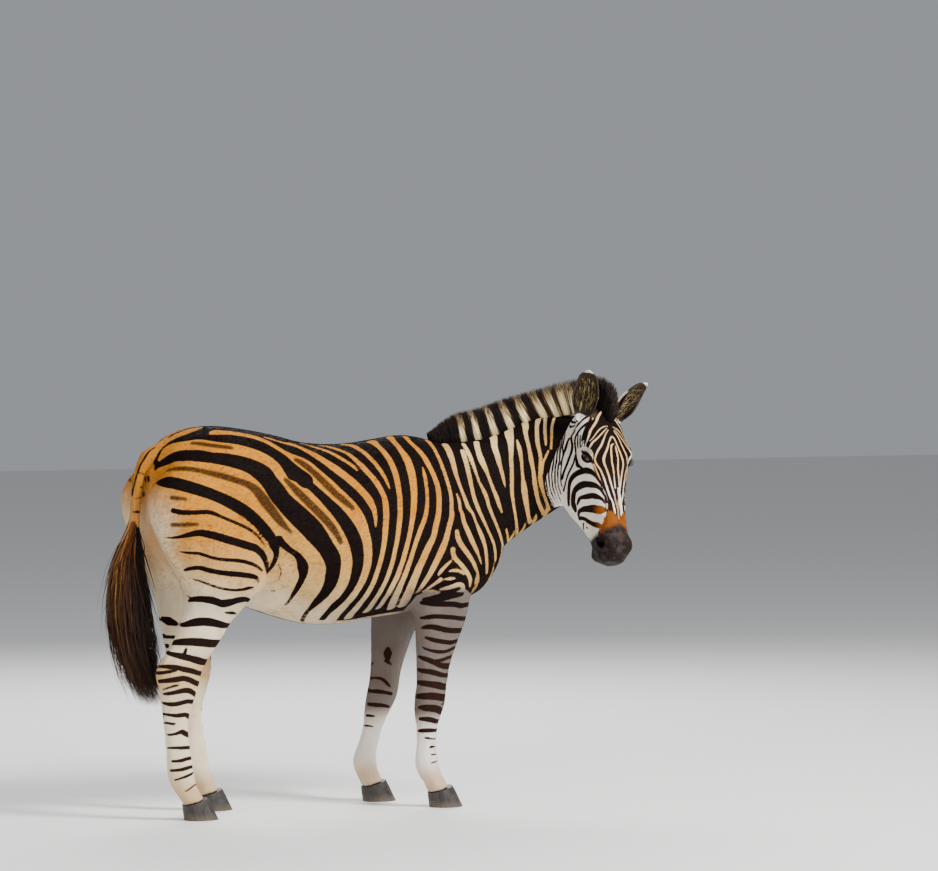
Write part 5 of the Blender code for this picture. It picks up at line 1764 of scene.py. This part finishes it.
class ZEBRA_OT_fine_hair(bpy.types.Operator):
    """Fills the ears with curling pale hair and sets the lashes over the eyes"""

    bl_idname = "zebra.fine_hair"
    bl_label = "Ear hair and lashes"

    def execute(self, context):
        rng = np.random.default_rng(SEEDS["fine_hair"])
        tree = HIDE["tree"]
        count = EAR_HAIRS
        for name in EARS:
            base, along, out, side = (np.array(v[:]) for v in ear_frame(name))
            place = rng.uniform(0.08, 0.80, count)
            edge = rng.choice((-1, 1), count) * rng.uniform(0.05, 0.72, count)
            width = EAR_HALF_WIDTH * (0.54 + 1.84 * place * (1 - place))
            curl = np.radians(122 - 70 * place)
            radius = width / np.maximum(np.sin(np.minimum(curl, np.pi / 2)), 0.3)
            deep = radius * (0.35 - np.cos(curl * edge)) + 0.10 * EAR_LENGTH * place ** 2 + 0.004
            start = base + along * (EAR_LENGTH * place)[:, None]
            start = start + side * (radius * np.sin(curl * edge))[:, None] + out * deep[:, None]
            roots = np.array([tree.find_nearest(p)[0][:] for p in start])
            ways = unit(along - side * (edge * 0.55)[:, None] + out * 0.16 + rng.normal(0, 0.15, (count, 3)))
            bends = side * (edge * 0.010)[:, None] + out * 0.004 + rng.normal(0, 0.003, (count, 3))
            gold = (rng.uniform(0, 1, count) > 0.55) * smooth_step(0.75 - np.abs(edge), 0.0, 0.35)
            tones = blend_colours(np.tile(EAR_HAIR_BROWN, (count, 1)), EAR_HAIR_GOLD, gold)
            tones *= rng.uniform(0.6, 1.15, count)[:, None]
            lengths = rng.uniform(0.020, 0.036, count) * (1.1 - 0.75 * place)
            widths = rng.uniform(0.0007, 0.0012, count)
            smooth_hairs("ear_hair_" + name, roots, ways, bends, lengths, widths, tones, rng)
        roots, ways, bends = [], [], []
        for sign in (1, -1):
            centre, axis, slit, up = eye_frame(sign)
            for f in np.linspace(-1, 1, LASHES):
                spot = centre + slit * (0.019 * f) + up * (0.0125 * (1 - f * f) + 0.003) + axis * 0.02
                roots.append(tree.find_nearest(spot)[0][:])
                ways.append((axis * 0.75 + up * 0.35 + slit * (0.35 * f)).normalized()[:])
                bends.append((up * 0.003)[:])
        roots, ways, bends = (np.array(v) for v in (roots, ways, bends))
        total = len(roots)
        tones = np.tile(BLACK, (total, 1))
        lengths, widths = rng.uniform(0.010, 0.016, total), np.full(total, 0.0006)
        smooth_hairs("lashes", roots, ways, bends, lengths, widths, tones, rng)
        return {"FINISHED"}


class ZEBRA_OT_eyes(bpy.types.Operator):
    """Gives the eyeballs their wet dark finish"""

    bl_idname = "zebra.eyes"
    bl_label = "Eyes"

    def execute(self, context):
        for name, side in (("eye_left", 1), ("eye_right", -1)):
            centre, axis, _, _ = eye_frame(side)
            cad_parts[name].material_slots[0].material = eye_material(name + "_wet", centre, axis)
        return {"FINISHED"}


class ZEBRA_OT_hooves(bpy.types.Operator):
    """Gives the hooves their horn"""

    bl_idname = "zebra.hooves"
    bl_label = "Hooves"

    def execute(self, context):
        material = horn_material()
        for name in ("hoof_front_left", "hoof_front_right", "hoof_hind_left", "hoof_hind_right"):
            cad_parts[name].material_slots[0].material = material
        return {"FINISHED"}


# The crest: place along the neck and how high it stands over the neck's axis.
CREST = [
    (0.00, 0.270), (0.13, 0.235), (0.24, 0.205), (0.35, 0.185), (0.46, 0.175), (0.55, 0.158), (0.62, 0.122),
]
# The forelock, root by root: place along the head, rise, how far it leans back, and height.
FORELOCK = [
    (-0.018, 0.018, 0.90, 0.112),
    (0.000, 0.040, 0.72, 0.114),
    (0.022, 0.055, 0.58, 0.108),
    (0.048, 0.064, 0.46, 0.086),
    (0.070, 0.069, 0.38, 0.044),
]
MANE_HEIGHT = 0.104
# How far each lock is sunk into the hide.
MANE_ROOT = 0.016


def crest_line():
    """Root, up, side, height and neck place along the mane, from the withers to the forehead."""
    line = []
    for i, t in enumerate(np.linspace(0.107, 0.59, 19)):
        centre, up, side = axis_frame("neck", float(t))
        (rise,) = table_value(CREST, t)
        line.append((centre + up * rise, up, -side, MANE_HEIGHT * min(1.0, 0.30 + 0.15 * i), float(t)))
    nose, brow, side = head_axes()
    for k, (along, rise, back, height) in enumerate(FORELOCK):
        up = (brow * (1 - back) - nose * back).normalized()
        line.append((head_point(along, rise, 0), up, side, height, 0.615 + 0.012 * k))
    for _ in range(2):
        inner = [
            tuple((a[k] + 2 * b[k] + c[k]) / 4 for k in range(5)) for a, b, c in zip(line, line[1:], line[2:])
        ]
        line = [line[0], *inner, line[-1]]
    return line


def mane_tone(t, share, wild):
    """Colour of a place in the mane: pale and black bands, rusty fringes and dark tips."""
    pale, fringe = np.zeros(len(t)), np.zeros(len(t))
    t = t + 0.013 * (1 - share) * (t < 0.55) + wild * 0.0011
    for middle, half in MANE_BANDS:
        d = np.abs(t - middle)
        pale = np.maximum(pale, smooth_step(half - d, -0.0015, 0.0015))
        fringe = np.maximum(fringe, smooth_step(half + 0.005 - d, 0, 0.003))
    tip = smooth_step(share + wild * 0.04, 0.80, 0.90)
    rust = smooth_step(share + wild * 0.05, 0.68, 0.84)
    colour = np.tile(BLACK * 1.1, (len(t), 1))
    colour = blend_colours(colour, RUST * 0.30, fringe * 0.6)
    colour = blend_colours(colour, MANE_PALE, pale)
    colour = blend_colours(colour, RUST, rust * pale * 0.75)
    return blend_colours(colour, UMBER * 0.5, tip)


class ZEBRA_OT_mane(bpy.types.Operator):
    """Stands the mane and forelock on the crest in upright locks"""

    bl_idname = "zebra.mane"
    bl_label = "Mane"

    def execute(self, context):
        rng = np.random.default_rng(SEEDS["mane"])
        line = crest_line()
        count = context.scene.zebra_hair.mane_locks
        roots, ups, sides = (np.array([tuple(v[k]) for v in line]) for k in range(3))
        heights, places = (np.array([v[k] for v in line]) for k in (3, 4))
        along = np.concatenate([[0], np.cumsum(np.linalg.norm(np.diff(roots, axis=0), axis=1))])
        s = rng.uniform(0, along[-1], count)
        root, up, side = (
            np.stack([np.interp(s, along, table[:, k]) for k in range(3)], 1) for table in (roots, ups, sides)
        )
        up = unit(up)
        height, t = np.interp(s, along, heights), np.interp(s, along, places)
        half = 0.012 + 0.08 * height
        sideways = rng.uniform(-1, 1, count)
        forward = np.cross(up, side)
        tall = height * (1 - 0.16 * np.abs(sideways) ** 2.0) * rng.uniform(0.84, 1.05, count) - 0.002
        tall = np.maximum(tall, 0.012)
        base = root + side * (sideways * half * 0.72)[:, None] - up * MANE_ROOT
        lean = side * (sideways * half * 0.20 + rng.normal(0, 0.0030, count))[:, None]
        lean = lean + forward * rng.normal(0, 0.004, count)[:, None]
        steps = np.array([0.0, 0.45, 0.8, 1.0])
        full = (tall + MANE_ROOT)[:, None, None]
        rise = steps[None, :, None]
        paths = base[:, None] + up[:, None] * full * rise + lean[:, None] * rise ** 2
        widths = rng.uniform(0.0013, 0.0024, count)[:, None] * np.array([0.9, 1.0, 0.75, 0.0])[None]
        turn = rng.uniform(0, np.pi, count)[:, None]
        across = forward * np.cos(turn) + side * np.sin(turn)
        out = np.cross(across, up)
        points, triangles, each = spikes(paths, widths, across, out, 0.9)
        mesh = triangle_mesh("mane_hair", points, triangles)
        share = np.array([0, 0, 0, 0.45, 0.45, 0.45, 0.8, 0.8, 0.8, 1.0])
        share = np.tile(share, count)
        wild = np.repeat(rng.normal(0, 1, count), each)
        tone = mane_tone(np.repeat(t, each), share, wild)
        tone *= np.repeat(rng.uniform(0.75, 1.15, count), each)[:, None]
        put_attribute(mesh, "tone", tone)
        put_grain(mesh, np.stack([share * 0.1, wild * 0.01, wild * 0.02], 1))
        place = np.stack([0.02 + 0.96 * s / along[-1], 0.5 + sideways * 0.2], 1)
        put_patches(mesh, place, each)
        piece("mane_hair", mesh, strand_material("mane_hair", 0.02), "dark_hair", "mane")
        return {"FINISHED"}


# Tail hair outline: z, x, half depth, half width.
TAIL_HAIR = [
    (0.960, -0.645, 0.026, 0.028),
    (0.910, -0.656, 0.042, 0.038),
    (0.840, -0.665, 0.055, 0.046),
    (0.750, -0.664, 0.066, 0.052),
    (0.650, -0.655, 0.068, 0.052),
    (0.550, -0.636, 0.060, 0.046),
    (0.450, -0.605, 0.048, 0.038),
    (0.370, -0.570, 0.026, 0.024),
]


class ZEBRA_OT_tail(bpy.types.Operator):
    """Hangs the long hair of the tail in loose locks"""

    bl_idname = "zebra.tail"
    bl_label = "Tail hair"

    def execute(self, context):
        rng = np.random.default_rng(SEEDS["tail"])
        count = context.scene.zebra_hair.tail_locks
        rows = np.array(TAIL_HAIR)[::-1]
        angle = rng.uniform(0, 2 * np.pi, count)
        behind = smooth_step(-np.cos(angle), -0.2, 0.8)
        top = 0.965 + (0.04 + 0.11 * behind) * rng.uniform(0, 1, count) ** 1.6
        low = 0.375 + 0.42 * rng.uniform(0, 1, count) ** 2.0
        loose = rng.uniform(0, 1, count) ** 3
        spread = np.sqrt(rng.uniform(0.05, 1, count))
        drift = rng.normal(0, 0.021, (count, 2))
        rings = 9
        steps = np.linspace(0, 1, rings)
        paths = np.empty((count, rings, 3))
        wave = rng.uniform(0, 2 * np.pi, count)
        for j, f in enumerate(steps):
            z = top + (low - top) * f
            x, depth, width = (np.interp(z, rows[:, 0], rows[:, k]) for k in (1, 2, 3))
            root_x = np.interp(z, [0.96, 1.06], [-0.645, -0.636])
            open_up = smooth_step(0.97 - z, -0.06, 0.05)
            x = root_x + (x - root_x) * smooth_step(0.98 - z, 0, 0.03)
            reach = spread * (0.45 + 0.55 * open_up) * 0.95
            sway = (0.004 + 0.010 * loose) * np.sin(wave + f * (4.0 + 3.0 * loose))
            sway *= smooth_step(np.array(f), 0.1, 0.5)
            paths[:, j, 0] = x + np.cos(angle) * depth * reach + sway + drift[:, 0] * f ** 1.5
            paths[:, j, 1] = np.sin(angle) * width * reach + 0.7 * sway + drift[:, 1] * f ** 1.5
            paths[:, j, 2] = z
        paths += np.array(MIDDLE)
        shape = np.array([0.6, 0.9, 1.0, 0.95, 0.85, 0.70, 0.50, 0.28, 0.0])
        widths = rng.uniform(0.0014, 0.0030, count)[:, None] * shape[None]
        turn = rng.uniform(0, np.pi, count)
        across = np.stack([np.cos(turn), np.sin(turn), np.zeros(count)], 1)
        out = np.stack([-np.sin(turn), np.cos(turn), np.zeros(count)], 1)
        points, triangles, each = spikes(paths, widths, across, out, 0.8)
        mesh = triangle_mesh("tail_hair", points, triangles)
        rearward = -np.cos(angle) * spread
        pale = smooth_step(rearward + rng.normal(0, 0.28, count), 0.0, 0.7)
        tone = blend_colours(np.tile(BLACK * 1.4, (count, 1)), RUST * 0.85, pale)
        gold = pale * (rng.uniform(0, 1, count) > 0.6)
        tone = blend_colours(tone, TAIL_GOLD, gold)
        tone = np.repeat(tone * rng.uniform(0.7, 1.2, count)[:, None], each, axis=0)
        share = np.tile(np.concatenate([np.repeat(steps[:-1], 3), [1.0]]), count)
        tone = blend_colours(tone, UMBER * 0.45, smooth_step(share, 0.22, 0.62) * 0.88)
        put_attribute(mesh, "tone", tone)
        wild = np.repeat(rng.normal(0, 1, count), each)
        put_grain(mesh, np.stack([share * 0.5, wild * 0.01, wild * 0.02], 1))
        place = np.stack([0.02 + 0.96 * angle / (2 * np.pi), 0.1 + 0.8 * spread], 1)
        put_patches(mesh, place, each)
        piece("tail_locks", mesh, strand_material("tail_hair", 0.03), "dark_hair", "tail_hair")
        return {"FINISHED"}


# Each lamp: its place, size and power.
LAMPS = {
    "key": ((3.4, -5.4, 6.0), 2.2, 1250),
    "fill": ((-5.2, -4.6, 3.2), 4.0, 260),
    "back": ((1.5, 4.5, 4.4), 3.5, 380),
}
LAMP_TARGET = Vector((0, 0, 0.8))
CAMERA_PLACE = Vector((-6.7619, -14.5009, 1.75))
CAMERA_HEADING = radians(26.986)
CAMERA_DIP = radians(1.6735)


class ZEBRA_OT_stage(bpy.types.Operator):
    """Sets the floor, the soft studio light and the camera"""

    bl_idname = "zebra.stage"
    bl_label = "Stage"

    def execute(self, context):
        settings = context.scene.zebra_stage
        s = Shader("studio_floor")
        s.bsdf.inputs["Base Color"].default_value = (*settings.floor_colour, 1)
        speck = s.noise(s.place(), 3.0)
        material = s.finish(s.plus(s.times(speck, 0.08), 0.7), 0.2)
        bm = bmesh.new()
        bmesh.ops.create_grid(bm, x_segments=8, y_segments=8, size=30)
        mesh = bpy.data.meshes.new("floor")
        bm.to_mesh(mesh)
        bm.free()
        floor = bpy.data.objects.new("floor", mesh)
        context.scene.collection.objects.link(floor)
        mesh.materials.append(material)
        world = bpy.data.worlds.new("studio")
        world.use_nodes = True
        background = world.node_tree.nodes["Background"]
        background.inputs["Color"].default_value = (0.86, 0.90, 0.97, 1)
        background.inputs["Strength"].default_value = 0.36
        context.scene.world = world
        for name, (place, size, power) in LAMPS.items():
            light = bpy.data.lights.new(name, "AREA")
            light.size = size
            light.energy = power
            lamp = bpy.data.objects.new(name, light)
            lamp.location = place
            lamp.rotation_euler = (LAMP_TARGET - Vector(place)).to_track_quat("-Z", "Y").to_euler()
            context.scene.collection.objects.link(lamp)
        camera = bpy.data.cameras.new("camera")
        camera.lens = settings.lens
        camera.sensor_width = 36
        eye = bpy.data.objects.new("camera", camera)
        eye.location = MIDDLE + CAMERA_PLACE
        level = cos(CAMERA_DIP)
        look = Vector((sin(CAMERA_HEADING) * level, cos(CAMERA_HEADING) * level, -sin(CAMERA_DIP)))
        eye.rotation_euler = look.to_track_quat("-Z", "Y").to_euler()
        context.scene.collection.objects.link(eye)
        context.scene.camera = eye
        return {"FINISHED"}


OPERATORS = (
    ZEBRA_OT_hide,
    ZEBRA_OT_coat,
    ZEBRA_OT_fine_hair,
    ZEBRA_OT_eyes,
    ZEBRA_OT_hooves,
    ZEBRA_OT_mane,
    ZEBRA_OT_tail,
    ZEBRA_OT_stage,
)


class ZEBRA_PT_panel(bpy.types.Panel):
    """Lists the pieces in the order they are made"""

    bl_label = "Zebra"
    bl_idname = "ZEBRA_PT_panel"
    bl_space_type = "VIEW_3D"
    bl_region_type = "UI"
    bl_category = "Zebra"

    def draw(self, context):
        for operator in OPERATORS:
            self.layout.operator(operator.bl_idname)
        for group in (context.scene.zebra_hide, context.scene.zebra_hair, context.scene.zebra_stage):
            for name in group.bl_rna.properties.keys():
                if name not in ("rna_type", "name"):
                    self.layout.prop(group, name)


CLASSES = (ZebraHide, ZebraHair, ZebraStage, *OPERATORS, ZEBRA_PT_panel)


def register():
    for cls in CLASSES:
        bpy.utils.register_class(cls)
    bpy.types.Scene.zebra_hide = PointerProperty(type=ZebraHide)
    bpy.types.Scene.zebra_hair = PointerProperty(type=ZebraHair)
    bpy.types.Scene.zebra_stage = PointerProperty(type=ZebraStage)


def unregister():
    del bpy.types.Scene.zebra_stage
    del bpy.types.Scene.zebra_hair
    del bpy.types.Scene.zebra_hide
    for cls in reversed(CLASSES):
        bpy.utils.unregister_class(cls)


def main():
    register()
    bpy.ops.zebra.hide()
    bpy.ops.zebra.coat()
    bpy.ops.zebra.fine_hair()
    bpy.ops.zebra.eyes()
    bpy.ops.zebra.hooves()
    bpy.ops.zebra.mane()
    bpy.ops.zebra.tail()
    bpy.ops.zebra.stage()


if __name__ == "__main__":
    main()
